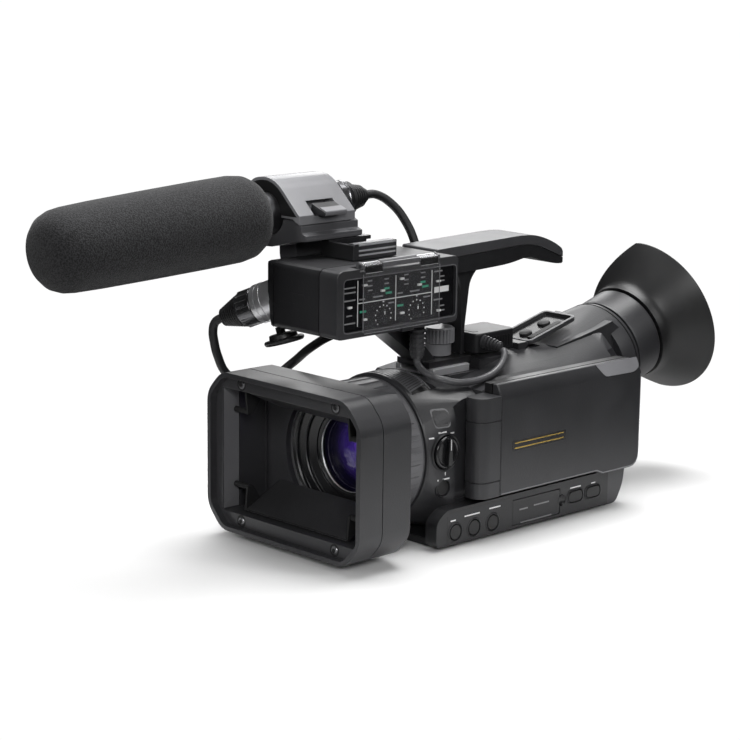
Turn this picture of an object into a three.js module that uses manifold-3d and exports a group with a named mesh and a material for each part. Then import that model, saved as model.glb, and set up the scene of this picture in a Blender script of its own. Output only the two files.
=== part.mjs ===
// Hand-held camcorder with a shotgun microphone, an audio control module on its top handle,
// a flip-out monitor and a tilting viewfinder.
//
// Every part is laid out about the lens axis: y = 0 is the front rim of the lens hood and y grows
// towards the viewfinder, x = 0 is the lens axis with +x on the monitor side, and z = 0 is the
// height of the lens axis. The last lines move the whole object so that its origin lies on the
// flat base, between the tripod thread and the locating hole. Sizes are in millimetres.
import * as THREE from 'three';
import { mergeVertices } from 'three/addons/utils/BufferGeometryUtils.js';
import Module from 'manifold-3d';

const wasm = await Module();
wasm.setup();

// ---- driving dimensions -------------------------------------------------------------------
const GAP = 0.3;                 // clearance between neighbouring pieces
const LENS_HEIGHT = 42;          // lens axis above the flat base
const ORIGIN_Y = 120;            // the origin lies this far behind the hood's front rim

const HOOD = { halfWidth: 53, halfHeight: 38.6, chamferX: 10.3, chamferZ: 11, round: 5, taper: 1.4,
  seam: 14.2, rear: 32, bulkhead: 5.5, wall: 2.4, lip: 4, ductX: 46, ductZ: 30, ductWall: 1.5 };
const FLAP = { halfWidth: 36, frontY: 8.6, frontZ: 28.8, rearY: 31.3, rearZ: 18.2, thick: 1,
  pivotY: 11.7, pivotZ: 18.4, pin: 1.4 };
const RING = { inner: 32.4, outer: 34.4, groove: 33.5, front: 35.8, rear: 59.4, pads: 36 };
const FRONT = { y0: 60.2, y1: 94.6, rim: 36, square: 85.7, flank: 36.5, shoulder: 24.6, top: 32.5 };
const REAR = { y0: 94.9, y1: 193.5, flank: 37.3, grip: -48, top: 38.5, floor: -38 };
const WALL = 2.6;                // thickness of the casings
const CASING_SEAM = 26;          // height of the seam between the side casings and the top cover
const BASE = -LENS_HEIGHT;
const LCD = { inner: 38, split: 43.2, outer: 50, front: 95.2, rear: 197.8, top: 33.3, bottom: -20.4 };
const HINGE = { x: 44, y: 87.8, front: 80.6, rear: 94.9, top: 28.4 };
const PANEL = { inner: 37.6, outer: 45, front: 57.5, rear: 180.2, top: -23, bottom: -40.4 };
const PORT = { front: 109.7, rear: 144.2, top: -26, bottom: -39 };
const VIEW = { tilt: 17, ringY: 226, ringZ: 27.8, half: 19.4, ring: 23.2, tailY: 167.2 };
const CUP = { collar: 26, collarY: 23, rise: 18, cut: 0.65 };
const MODULE = { left: -23.5, seam: 14, right: 26.4, front: 10, rear: 88, bottom: 62, top: 93.5 };
const MIC = { x: -34, z: 111.7, pitch: 3, tube: 10, foam: 20.4 };
const HANDLE = { half: 12, post: 6.5, front: 88.4, rear: 184.4 };
const GRILLE = { inner: 33.4, outer: 35.6, front: 63, rear: 77, from: 0.94 };
const DIAL = { y: 71.5, z: 2.5, radius: 7.8 };
const PUSH = { face: 35.5, y: 71, z: -15, radius: 3.7 };
const ASSIGN = { places: [70, 82.7, 95.6], z: -34.4, radius: 3.7 };
const OVAL = { places: [155.5, 168.8], z: -32, halfLength: 5.2, halfHeight: 2.8 };
const KNOB = { places: [40.3, 61.8], z: 70, radius: 3.3 };
const DOOR = { x: 24.6, z: 94.5, front: 24.6, rear: 74.2, radius: 1.9 };
const WHEEL = { y: 102.2, grip: 8, neck: 6.4 };
const JACK = { y: 156.2, z: 38.1, pitch: 0.25 };
const ROCKER = { x: -24.5, y: 145.5, z: 35, slope: 0.4, halfLength: 14, halfWidth: 5 };
const BOOT = { x: 12, y: 75.6, radius: 4.2, bottom: 43.4 };
const PLUG = { at: [-31.6, 18, 71.2], axis: [-0.867, -0.3125, -0.387], radius: 9.5 };

// ---- solids ---------------------------------------------------------------------------------
function bareCopy(geometry) {
  const bare = geometry.clone();
  bare.deleteAttribute('normal');
  bare.deleteAttribute('uv');
  return mergeVertices(bare, 1e-4);
}

function toSolid(geometry) {
  const merged = bareCopy(geometry);
  const vertProperties = new Float32Array(merged.attributes.position.array);
  const triVerts = new Uint32Array(merged.index.array);
  return new wasm.Manifold(new wasm.Mesh({ numProp: 3, vertProperties, triVerts }));
}

function toGeometry(solid) {
  const mesh = solid.getMesh();
  const geometry = new THREE.BufferGeometry();
  geometry.setAttribute('position', new THREE.BufferAttribute(mesh.vertProperties, 3));
  geometry.setIndex(new THREE.BufferAttribute(mesh.triVerts, 1));
  geometry.computeVertexNormals();
  return geometry;
}

function join(first, ...others) {
  return others.reduce((whole, other) => whole.add(other), first);
}

function cut(first, ...tools) {
  return tools.reduce((whole, tool) => whole.subtract(tool), first);
}

// The smooth skin stretched over several solids.
function wrap(...solids) {
  return wasm.Manifold.hull(solids);
}

function block(x0, x1, y0, y1, z0, z1) {
  const box = new THREE.BoxGeometry(x1 - x0, y1 - y0, z1 - z0);
  return toSolid(box.translate((x0 + x1) / 2, (y0 + y1) / 2, (z0 + z1) / 2));
}

// A closed outline whose corners are [a, b] or [a, b, radius]. A radius takes at most half an edge.
function outline(corners) {
  const shape = new THREE.Shape();
  const count = corners.length;
  corners.forEach(([a, b, radius = 0], i) => {
    const here = new THREE.Vector2(a, b);
    const towards = (j) => new THREE.Vector2(corners[j][0], corners[j][1]).sub(here);
    const before = towards((i + count - 1) % count);
    const after = towards((i + 1) % count);
    const start = here.clone().add(before.clone().setLength(Math.min(radius, before.length() * 0.49)));
    const end = here.clone().add(after.clone().setLength(Math.min(radius, after.length() * 0.49)));
    if (i === 0) shape.moveTo(start.x, start.y);
    else shape.lineTo(start.x, start.y);
    if (radius > 0) shape.quadraticCurveTo(a, b, end.x, end.y);
  });
  shape.closePath();
  return shape;
}

const ACROSS = new THREE.Matrix4().makeBasis(
  new THREE.Vector3(0, 1, 0), new THREE.Vector3(0, 0, 1), new THREE.Vector3(1, 0, 0));
const ALONG = new THREE.Matrix4().makeBasis(
  new THREE.Vector3(1, 0, 0), new THREE.Vector3(0, 0, 1), new THREE.Vector3(0, -1, 0));

function extrude(shape, depth) {
  return new THREE.ExtrudeGeometry(shape, { depth, bevelEnabled: false, curveSegments: 4 });
}

// Outline in y and z, carried across from x0 to x1.
function across(corners, x0, x1) {
  return toSolid(extrude(outline(corners), x1 - x0).applyMatrix4(ACROSS).translate(x0, 0, 0));
}

// Outline in x and z, carried along the lens axis from y0 to y1.
function along(corners, y0, y1) {
  return toSolid(extrude(outline(corners), y1 - y0).applyMatrix4(ALONG).translate(0, y1, 0));
}

// Outline in x and y, carried upwards from z0 to z1.
function upward(corners, z0, z1) {
  return toSolid(extrude(outline(corners), z1 - z0).translate(0, 0, z0));
}

// A profile of [radius, y] turned about the y axis; it starts and ends on the axis or closes.
function turned(profile, sides = 40) {
  return new THREE.LatheGeometry(profile.map(([r, y]) => new THREE.Vector2(r, y)), sides);
}

function rod(radius, y0, y1, sides = 24) {
  return turned([[0, y0], [radius, y0], [radius, y1], [0, y1]], sides);
}

// A disc of the given radius about the x axis.
function disc(radius, x0, x1, y, z, sides = 24) {
  return toSolid(rod(radius, x0, x1, sides).rotateZ(-Math.PI / 2).translate(0, y, z));
}

// A disc of the given radius about the z axis.
function wheel(radius, z0, z1, x, y, sides = 24) {
  return toSolid(rod(radius, z0, z1, sides).rotateX(Math.PI / 2).translate(x, y, 0));
}

function circleCorners(radius, count, from = 0, to = 2 * Math.PI) {
  const full = to - from >= 2 * Math.PI;
  const steps = full ? count : count - 1;
  return Array.from({ length: count }, (_, i) => {
    const angle = from + (to - from) * i / steps;
    return [radius * Math.cos(angle), radius * Math.sin(angle)];
  });
}

function octagon(inset) {
  const x = HOOD.halfWidth - inset;
  const z = HOOD.halfHeight - inset;
  const cx = HOOD.chamferX - inset * 0.5;
  const cz = HOOD.chamferZ - inset * 0.5;
  const round = Math.max(1, HOOD.round - inset);
  return [[x, cz - z], [x, z - cz], [x - cx, z], [cx - x, z], [-x, z - cz], [-x, cz - z],
    [cx - x, -z], [x - cx, -z]].map(([a, b]) => [a, b, round]);
}

function rectangle(a0, a1, b0, b1, radius = 0) {
  return [[a0, b0, radius], [a1, b0, radius], [a1, b1, radius], [a0, b1, radius]];
}

// A tube of the given radius along points chosen on its route.
function cord(points, radius, steps) {
  const route = new THREE.CatmullRomCurve3(points.map((p) => new THREE.Vector3(...p)), false,
    'centripetal');
  const section = outline(circleCorners(radius, 8));
  const options = { steps, extrudePath: route, bevelEnabled: false };
  return bareCopy(new THREE.ExtrudeGeometry(section, options));
}

// ---- materials --------------------------------------------------------------------------------
const COLOUR = { charcoal: 0x3d3d41, dark: 0x28282b, black: 0x151517, light: 0x5b5c60,
  foam: 0x2b2b2d, metal: 0xb8b8bc, glass: 0x2a2350, gloss: 0x101012, rubber: 0x1b1b1d };

const camcorder = new THREE.Group();

function add(name, shape, colour, { rough = 0.6, metal = 0, parent = camcorder } = {}) {
  const geometry = shape.isBufferGeometry ? shape : toGeometry(shape);
  const material = new THREE.MeshStandardMaterial({ color: colour, roughness: rough, metalness: metal });
  const mesh = new THREE.Mesh(geometry, material);
  mesh.name = name;
  parent.add(mesh);
  return mesh;
}

// ---- lens hood --------------------------------------------------------------------------------
function addHood() {
  const duct = rectangle(-HOOD.ductX, HOOD.ductX, -HOOD.ductZ, HOOD.ductZ);
  const frame = cut(along(octagon(0), 0, HOOD.seam),
    along(octagon(HOOD.wall), -1, HOOD.lip),
    along(duct, -1, HOOD.seam + 1));
  add('hood_front_frame', frame, COLOUR.charcoal);

  const front = HOOD.seam + GAP;
  const { halfHeight, rear, seam, taper, wall } = HOOD;
  const ductX = HOOD.ductX + HOOD.ductWall;
  const ductZ = HOOD.ductZ + HOOD.ductWall;
  const bulkhead = along(octagon(HOOD.bulkhead), rear - 0.5, rear + 3);
  const hollow = cut(along(octagon(wall), front - 1, rear - wall),
    along(rectangle(-ductX, ductX, -ductZ, ductZ), 0, 60));
  const wedge = across([[seam, -halfHeight - 0.1], [rear + 4, taper - halfHeight],
    [rear + 4, halfHeight - taper], [seam, halfHeight + 0.1]], -60, 60);
  const shell = cut(join(along(octagon(0), front, rear).intersect(wedge), bulkhead),
    hollow,
    along(duct, front - 1, rear),
    toSolid(rod(RING.inner, 0, 60, 40)));
  add('hood_rear_shell', shell, COLOUR.charcoal);
}

// One of the two shutter blades that close in front of the lens; side is +1 above, -1 below.
function shutterFlap(side) {
  const { frontY, frontZ, rearY, rearZ, thick, pivotY, pivotZ, pin, halfWidth } = FLAP;
  const blade = across([[frontY, side * frontZ], [rearY, side * rearZ],
    [rearY, side * (rearZ + thick)], [frontY + 1, side * (frontZ + thick - 0.5)]],
  -halfWidth, halfWidth);
  const pieces = [blade];
  for (const hand of [-1, 1]) {
    const x0 = hand > 0 ? halfWidth - 1.2 : -halfWidth;
    pieces.push(across([[frontY + 0.4, side * (frontZ - 0.1)], [18, side * 24.4],
      [pivotY + 1.6, side * (pivotZ - 1)], [pivotY - 1.6, side * (pivotZ - 1)]], x0, x0 + 1.2));
    const pinStart = hand > 0 ? halfWidth - 1 : -HOOD.ductX + 0.6;
    const pinEnd = hand > 0 ? HOOD.ductX - 0.6 : -halfWidth + 1;
    pieces.push(disc(pin, pinStart, pinEnd, pivotY, side * pivotZ, 12));
  }
  return join(...pieces);
}

function addShutter() {
  add('shutter_flap_upper', shutterFlap(1), COLOUR.black);
  add('shutter_flap_lower', shutterFlap(-1), COLOUR.black);
}

// ---- lens -------------------------------------------------------------------------------------
function addLens() {
  add('lens_barrel', turned([[31.2, 35.4], [32, 36], [32, 74], [24, 74], [24, 56], [13.6, 56],
    [13.6, 48.4], [19.2, 48.2], [19.2, 43.4], [21.2, 42.6], [21.2, 41.8], [25.5, 40.4], [25.5, 39],
    [29.5, 38], [29.5, 36.8], [31.2, 35.4]], 48), COLOUR.black, { rough: 0.4 });
  add('front_lens', turned([[0, 41.2], [6, 41.6], [12, 42.9], [18.9, 45.4], [18.9, 47.8],
    [0, 47.2]], 40), COLOUR.glass, { rough: 0.05 });
  add('sensor_block', join(block(-17, 17, 77, 96, -15, 15), block(-24, 24, 96.5, 98.5, -22, 22),
    block(-8, 8, 95, 97, -8, 8)), COLOUR.dark);
  add('focus_ring', focusRing(), COLOUR.dark, { rough: 0.7 });
}

// The focus ring carries raised pads with narrow grooves between them.
function focusRing() {
  const pads = [];
  const pitch = 2 * Math.PI / RING.pads;
  for (let i = 0; i < RING.pads; i += 1) {
    for (const [radius, share] of [[RING.outer, 0.08], [RING.outer, 0.72], [RING.groove, 0.76],
      [RING.groove, 1.04]]) {
      const angle = (i + share) * pitch;
      pads.push([radius * Math.cos(angle), radius * Math.sin(angle)]);
    }
  }
  const rim = toSolid(rod(RING.outer - 0.5, RING.front, RING.rear, 48));
  return cut(join(along(pads, RING.front + 1.4, RING.rear - 2.2), rim),
    toSolid(rod(RING.inner, RING.front - 1, RING.rear + 1, 48)));
}

// ---- body -------------------------------------------------------------------------------------
function frontOutline(inset) {
  const x = FRONT.flank - inset;
  const z = FRONT.top - inset;
  return [[x, REAR.floor], [x, FRONT.shoulder - inset * 0.4, 1.5], [29 - inset * 0.6, 29.4 - inset, 2],
    [13, z, 3], [-13, z, 3], [inset * 0.6 - 29, 29.4 - inset, 2],
    [-x, FRONT.shoulder - inset * 0.4, 1.5], [-x, REAR.floor]];
}

// The grille over the built-in microphones is an arc that follows the focus ring.
function grilleSector(inner, outer, from, y0, y1) {
  const arc = circleCorners(outer, 17, from, Math.PI - from);
  return along([...arc, ...circleCorners(inner, 17, from, Math.PI - from).reverse()], y0, y1);
}

// The housing is round where it meets the focus ring and becomes square further back.
function addFrontHousing() {
  const { y0, y1, flank, rim, square } = FRONT;
  const round = wrap(toSolid(rod(rim - 0.8, y0, y0 + 2, 64)), toSolid(rod(rim, y0 + 0.8, y0 + 2, 64)),
    along(frontOutline(0), square, square + 0.2));
  const grilleBed = toSolid(rod(GRILLE.inner - GAP, y0, 80.6, 48));
  const outer = join(round, along(frontOutline(0), square, y1), grilleBed);
  const hollow = along(frontOutline(WALL), 80, y1 + 1);
  const housing = cut(outer, hollow,
    toSolid(rod(RING.inner - 0.1, y0 - 1, 77, 48)),
    toSolid(rod(26, 76, 81, 40)),
    grilleSector(GRILLE.inner - GAP, GRILLE.outer + 9, GRILLE.from - 0.02, GRILLE.front - GAP,
      GRILLE.rear + GAP),
    block(34.2, 40, 78, y1 + 1, -21.6, 31),
    block(-60, 60, y0 - 1, 200, REAR.floor - 10, REAR.floor),
    disc(DIAL.radius + 0.4, flank - 1.4, flank + 2, DIAL.y, DIAL.z),
    disc(PUSH.radius + 0.4, PUSH.face - 2.6, flank + 2, PUSH.y, PUSH.z, 16));
  add('front_housing', housing, COLOUR.charcoal);
  add('mic_grille', grilleSector(GRILLE.inner, GRILLE.outer, GRILLE.from, GRILLE.front, GRILLE.rear),
    COLOUR.dark);
  const dial = join(disc(DIAL.radius, flank - 1.1, flank + 1.6, DIAL.y, DIAL.z, 28),
    block(flank + 1, flank + 3.6, DIAL.y - 1.2, DIAL.y + 1.2, DIAL.z - 7.3, DIAL.z + 7.3));
  add('selector_dial', dial, COLOUR.black);
  add('focus_push_button', disc(PUSH.radius, PUSH.face - 1.8, PUSH.face, PUSH.y, PUSH.z, 20),
    COLOUR.dark);
}

function rearOutline(inset) {
  const flank = REAR.flank - inset;
  const top = REAR.top - inset;
  return [[flank, REAR.floor], [flank, 29 - inset, 3], [28, 33.5 - inset, 3], [12, top, 4],
    [-14, top, 4], [inset * 0.5 - 34, 30.5 - inset, 5], [inset - 46, 14, 6], [REAR.grip + inset, -8, 6],
    [inset - 45, -28, 5], [-37, REAR.floor]];
}

// Everything behind the front housing starts as one shell, which the seams then divide.
function rearShell() {
  const { half, tailY } = VIEW;
  const slopeTop = [[REAR.y0 - 1, 28.4], [140, 38.6], [140, 60], [REAR.y0 - 1, 60]];
  const slopeRoof = slopeTop.map(([y, z]) => [y, z - 3]);
  const hollow = cut(along(rearOutline(WALL), REAR.y0 - 1, REAR.y1 - WALL), across(slopeRoof, -60, 60));
  const jackHingeStub = block(0, 12, 147, 153.2, 35, 41.4);
  const jackPocket = block(-11.6, 12.4, 153.2, 163, 37.1, 60);
  const shoePocket = block(-16, 16, 90, 116, 32.7, 60);
  const viewfinderRoom = block(-half - 0.4, half + 0.4, tailY, 300, -12, 60);
  const drumRoom = viewfinderPlace(rod(26.6, -13.3, 20, 40));
  const batteryDoorRoom = block(-50, 50, 180.4, 220, -60, -23.8);
  const gripNose = upward([[-60, 90], [-36.5, 90], [-36.5, 95], [-49, 112], [-60, 112]], -60, 60);
  const outer = join(along(rearOutline(0), REAR.y0, REAR.y1), cheeks(), jackHingeStub);
  return cut(outer, hollow, viewfinderRoom, drumRoom, across(slopeTop, 15, 60),
    across(slopeTop, -60, -15), gripNose, shoePocket, jackPocket, batteryDoorRoom);
}

// One thin slice of the cheeks: its middle stands rise higher than the top cover there, and the
// shoulders follow by a falling share of it.
function cheekSlice(y, rise) {
  const half = [[REAR.flank, 0], [REAR.flank, 28], [32.5, 31.4 + rise * 0.3],
    [26, 34.4 + rise * 0.75], [19, 36.2 + rise]];
  const mirrored = half.map(([x, z]) => [-x, z]).reverse();
  return along([...half, ...mirrored], y, y + 0.2);
}

// The two cheeks beside the viewfinder swell out of the top cover and hold its pivot.
function cheeks() {
  const front = cheekSlice(148, -1.4);
  const middle = cheekSlice(174, 2.4);
  const back = cheekSlice(REAR.y1 - 0.3, 5);
  const rear = wrap(back.intersect(block(-30.5, 30.5, 190, 200, 0, 60)),
    across([[193, 36], [198.6, 42, 1], [208.6, 28.6, 2], [204.6, -6, 4], [190, -8]], -22, 22),
    across([[193, 30], [199, 35], [207.6, 25.6], [203.6, -5, 3], [190, -7]], -29, 29));
  return join(wrap(front, middle), wrap(middle, back), rear);
}

function viewfinderPlace(geometry) {
  const tilt = VIEW.tilt * Math.PI / 180;
  return toSolid(geometry.rotateX(tilt).translate(0, VIEW.ringY, VIEW.ringZ));
}

function addRearBody() {
  const shell = rearShell();
  const far = 300;
  const lower = CASING_SEAM - GAP;
  add('top_cover', shell.intersect(block(-far, far, 0, far, CASING_SEAM, far)), COLOUR.charcoal);
  add('left_side_casing', shell.intersect(block(GAP / 2, far, 0, far, -far, lower)), COLOUR.charcoal);
  const grip = shell.intersect(block(-far, -GAP / 2, 0, far, -far, lower));
  add('right_side_casing', join(grip, strapLug(100), strapLug(184)), COLOUR.charcoal);
}

// A lug on the grip that holds one end of the hand strap.
function strapLug(y) {
  return block(-50.6, -46, y, y + 8, -20, 14);
}

function addBase() {
  const top = REAR.floor - GAP;
  const floor = upward([[-38, 62, 6], [36.6, 62, 6], [36.6, 180.2], [-38, 180.2, 3]], BASE, top);
  const holes = [wheel(3.3, BASE - 1, top + 1, 0, 110, 16), wheel(2.2, BASE - 1, top + 1, 0, 129, 12)];
  add('bottom_cover', cut(floor, ...holes), COLOUR.dark);
  add('battery', block(-16, 18, 122, 178, -36, -14), COLOUR.dark);
  const door = across([[180.6, BASE, 1], [190, BASE, 3], [195, -33, 3], [196.4, -24.2, 1],
    [180.6, -24.2, 1]], -36, 42.3);
  add('battery_door', door, COLOUR.light);
}

function addControlPanel() {
  const { inner, outer, front, rear, top, bottom } = PANEL;
  const body = across([[front, bottom, 3], [rear, bottom], [rear, top], [64, top, 3],
    [front, -28, 3]], inner, outer);
  const tools = [across(rectangle(PORT.front, PORT.rear, PORT.bottom, PORT.top, 1), 42.9, outer + 1),
    disc(3, outer - 2.2, outer + 1, 145.4, -32.4, 16),
    block(39.6, 43.5, 116, 125, -36, -30),
    block(39.6, 43.5, 128, 141.5, -36.4, -30.8)];
  for (const y of ASSIGN.places) {
    tools.push(disc(ASSIGN.radius + 0.4, 40.6, outer + 1, y, ASSIGN.z, 20));
  }
  for (const y of OVAL.places) tools.push(oval(y, GAP, 40.6, outer + 1));
  add('lower_control_panel', cut(body, ...tools), COLOUR.dark);
  ASSIGN.places.forEach((y, i) => {
    add(`assign_button_${i + 1}`, disc(ASSIGN.radius, 41.6, outer + 0.4, y, ASSIGN.z, 20),
      COLOUR.black);
  });
  add('display_button', oval(OVAL.places[0], 0, 41.6, outer + 0.4), COLOUR.black);
  add('menu_button', oval(OVAL.places[1], 0, 41.6, outer + 0.4), COLOUR.black);
  const cover = across(rectangle(PORT.front + GAP, PORT.rear - GAP, PORT.bottom + GAP,
    PORT.top - GAP, 1), 43.2, outer);
  add('port_cover', cover, COLOUR.dark);
}

// A long button, or with extra room around it the pocket that takes the button.
function oval(y, room, x0, x1) {
  const length = OVAL.halfLength + room;
  const height = OVAL.halfHeight + room;
  return across(rectangle(y - length, y + length, OVAL.z - height, OVAL.z + height, height), x0, x1);
}

// ---- monitor ----------------------------------------------------------------------------------
function addMonitor() {
  const { inner, split, outer, front, rear, top, bottom } = LCD;
  const side = [[front, bottom], [165, bottom], [170, bottom - 1.9], [rear, bottom - 1.9, 7],
    [rear, top, 7], [front, top]];
  const slope = along([[outer + 1, 24.2], [outer + 1, 50], [44.5, 50], [44.5, 37.4]], 0, 300);
  const backShell = cut(across(side, split, outer), slope,
    block(split - 1, outer - 2.4, front + 2.5, rear - 2.5, bottom + 2.5, 28));
  add('lcd_back_shell', backShell, COLOUR.charcoal);
  const window = rectangle(108, 186, -13.5, 30.5, 1);
  const bezel = cut(across(side, inner, split - GAP), across(window, inner - 1, outer));
  add('lcd_bezel', bezel, COLOUR.black);
  add('lcd_screen', across(rectangle(108.3, 185.7, -13.2, 30.2, 0.7), inner + 0.8, split - 0.8),
    COLOUR.gloss, { rough: 0.15 });
  const hinge = upward([[38.6, HINGE.front + 1, 2], [outer, HINGE.front, 5],
    [outer, HINGE.rear], [38.6, HINGE.rear, 1]], bottom, HINGE.top);
  add('lcd_hinge_block', hinge, COLOUR.charcoal);
}

// ---- viewfinder -------------------------------------------------------------------------------
function addViewfinder() {
  const { half, ring } = VIEW;
  const tail = across([[167.7, 33], [167.7, 38.1], [198, 43.2, 8], [210, 46], [218, 40],
    [214, 10], [206, -4], [196, -7, 4], [186, 2, 5], [172.6, 26, 4]], -half, half);
  const drum = viewfinderPlace(turned([[0, -12.6], [25.2, -12.6], [25.8, -5], [24.6, -0.4],
    [0, -0.4]], 48));
  const hollow = viewfinderPlace(rod(19, -11, 1, 24));
  const root = [block(-half + 3, half - 3, 168, 172, 30, 37.9), block(-half, half, 168, 172, 30, 36)];
  const neck = wrap(drum, ...root).intersect(block(-half, half, 160, 240, 20, 60));
  add('viewfinder_housing', cut(join(tail, drum, neck), hollow), COLOUR.charcoal);
  const tilted = new THREE.Group();
  tilted.position.set(0, VIEW.ringY, VIEW.ringZ);
  tilted.rotation.x = VIEW.tilt * Math.PI / 180;
  camcorder.add(tilted);
  add('viewfinder_tube', turned([[19.4, 0], [ring, 0], [ring, 0.5], [24.6, 0.8], [24.7, 18.2],
    [19.4, 18.2], [19.4, 0]], 48), COLOUR.charcoal, { parent: tilted });
  add('eyepiece_lens', turned([[0, 13], [10, 13.6], [19, 15], [19, 17], [0, 17.4]], 28),
    COLOUR.gloss, { rough: 0.05, parent: tilted });
  const cup = turned([[20.5, 18.6], [25.6, 18.6], [26, 23], [31, 29], [42.2, 41], [41.2, 42.2],
    [29.5, 31], [24.6, 25.2], [20.5, 23], [20.5, 18.6]], 56);
  add('eyecup', trimmedOnGripSide(cup), COLOUR.rubber, { rough: 0.8, parent: tilted });
}

// The eyecup flares widely on the monitor side. On the grip side a slanting cut trims it back to
// its collar.
function trimmedOnGripSide(geometry) {
  const { collar, collarY, rise, cut: slope } = CUP;
  const position = geometry.attributes.position;
  for (let i = 0; i < position.count; i += 1) {
    const x = position.getX(i);
    const y = position.getY(i);
    const z = position.getZ(i);
    if (y <= collarY) continue;
    const radius = Math.hypot(x, z);
    const side = Math.max(0, -x / radius);
    const height = (rise + slope * 2 - slope * collar * side) / (1 + slope * 0.9 * side);
    const keep = Math.min(1, Math.max(0.12, height / rise));
    const scale = (collar + (radius - collar) * keep) / radius;
    position.setXYZ(i, x * scale, collarY + (y - collarY) * keep, z * scale);
  }
  return geometry;
}

// ---- grip -------------------------------------------------------------------------------------
function addGrip() {
  const inside = [[-51, 101.6], [-58.5, 114], [-63, 130], [-64.5, 146], [-63, 162], [-58.5, 178],
    [-51, 190.4]];
  const outside = inside.map(([x, y]) => [x - 3, y + (y - 146) * 0.03]).reverse();
  const strap = upward([...inside, ...outside], -17, 11);
  add('hand_strap', cut(strap, block(-50.9, -40, 90, 200, -30, 30)), COLOUR.black, { rough: 0.9 });
  const slope = new THREE.Group();
  slope.position.set(ROCKER.x, ROCKER.y, ROCKER.z);
  slope.rotation.y = -ROCKER.slope;
  camcorder.add(slope);
  const end = ROCKER.halfLength;
  const rocker = across([[-end, 1.4, 1], [0, 0.3], [end, 1.4, 1], [end, 4, 2], [0, 3, 8],
    [-end, 4, 2]], -ROCKER.halfWidth, ROCKER.halfWidth);
  add('zoom_rocker', rocker, COLOUR.dark, { parent: slope });
  add('record_button', toSolid(rod(6, REAR.y1 + 0.9, REAR.y1 + 3.4).translate(-37.4, 0, 8)),
    0x8c2222);
}

// ---- jack cover and plug ----------------------------------------------------------------------
function addJackCover() {
  const tray = new THREE.Group();
  tray.position.set(0, JACK.y, JACK.z);
  tray.rotation.x = JACK.pitch;
  camcorder.add(tray);
  const rim = upward(rectangle(-11, 10.6, 1.4, 37.4, 3), 0, 2.6);
  const well = upward(rectangle(-9.4, 9, 3, 35.8, 2), 1, 6);
  const arm = across([[-0.6, 0.2], [4, 0], [4, 2], [-0.6, 1.6]], 1, 9);
  add('jack_cover', join(cut(rim, well), arm), COLOUR.black, { parent: tray });
}

// ---- handle -----------------------------------------------------------------------------------
// The line in y and z where the handle's top and its frame meet.
const SEAM_LINE = [[HANDLE.front, 89], [100, 89.3], [144.6, 90.6], [151, 90.6], [157, 89.8],
  [162, 88.4], [168, 86], [174, 83.6], [179, 81.8], [HANDLE.rear, 80.2]];

function addHandle() {
  const { half, front, rear, post: postHalf } = HANDLE;
  const tailRadius = 11;
  const plan = upward([[-half, front - 1], [half, front - 1], [half, rear, tailRadius],
    [-half, rear, tailRadius]], 0, 200);
  const upper = [[front, 94.2, 1], [148, 95.6, 10], [158, 94.8, 6], [166.4, 92.2, 5], [173.6, 89, 5],
    [180.4, 85, 4], [rear, 82.2, 1]];
  const seamUp = SEAM_LINE.map(([y, z]) => [y, z + GAP / 2]);
  const top = across([...seamUp, ...upper.reverse()], -half, half).intersect(plan);
  add('handle_top', top, COLOUR.charcoal);
  const seamDown = SEAM_LINE.map(([y, z]) => [y, z - GAP / 2]);
  const under = [[rear, 79.4, 0.4], [181, 78.2, 3], [173, 78.9, 3], [166, 80.6, 5],
    [159.6, 82.6, 4], [153, 84.6, 6], [140, 82.2, 8], [118, 81.5], [front, 81.5]];
  const beam = across([...seamDown, ...under], -half + 0.3, half - 0.3).intersect(plan);
  const post = across([[111.4, 39.9], [113.6, 39.9], [113.8, 53], [117, 76, 4], [124, 83],
    [106, 83], [110, 76, 3], [111.4, 60]], -postHalf, postHalf);
  add('handle_frame', join(beam, post), COLOUR.dark);
  const shoe = cut(block(-13, 13, 86, 111, 32.8, 36.2), block(-9.4, 9.4, 84, 112, 34, 37));
  add('camera_shoe', shoe, COLOUR.metal, { rough: 0.35, metal: 1 });
  const foot = join(block(-11, 11, 85, 113.8, 36.5, 39.6),
    across([[85, 39], [94, 39], [72, 61.7], [54, 61.7]], -7, 7));
  add('handle_foot', foot, COLOUR.black);
  const knurl = circleCorners(WHEEL.grip, 36)
    .map(([a, b], i) => (i % 2 ? [a, b] : [a * 0.92, b * 0.92]));
  const grip = upward(knurl, 46.2, 54).translate([0, WHEEL.y, 0]);
  add('thumb_wheel', join(grip, wheel(WHEEL.neck, 40, 46.4, 0, WHEEL.y, 20)), COLOUR.dark);
}

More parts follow.
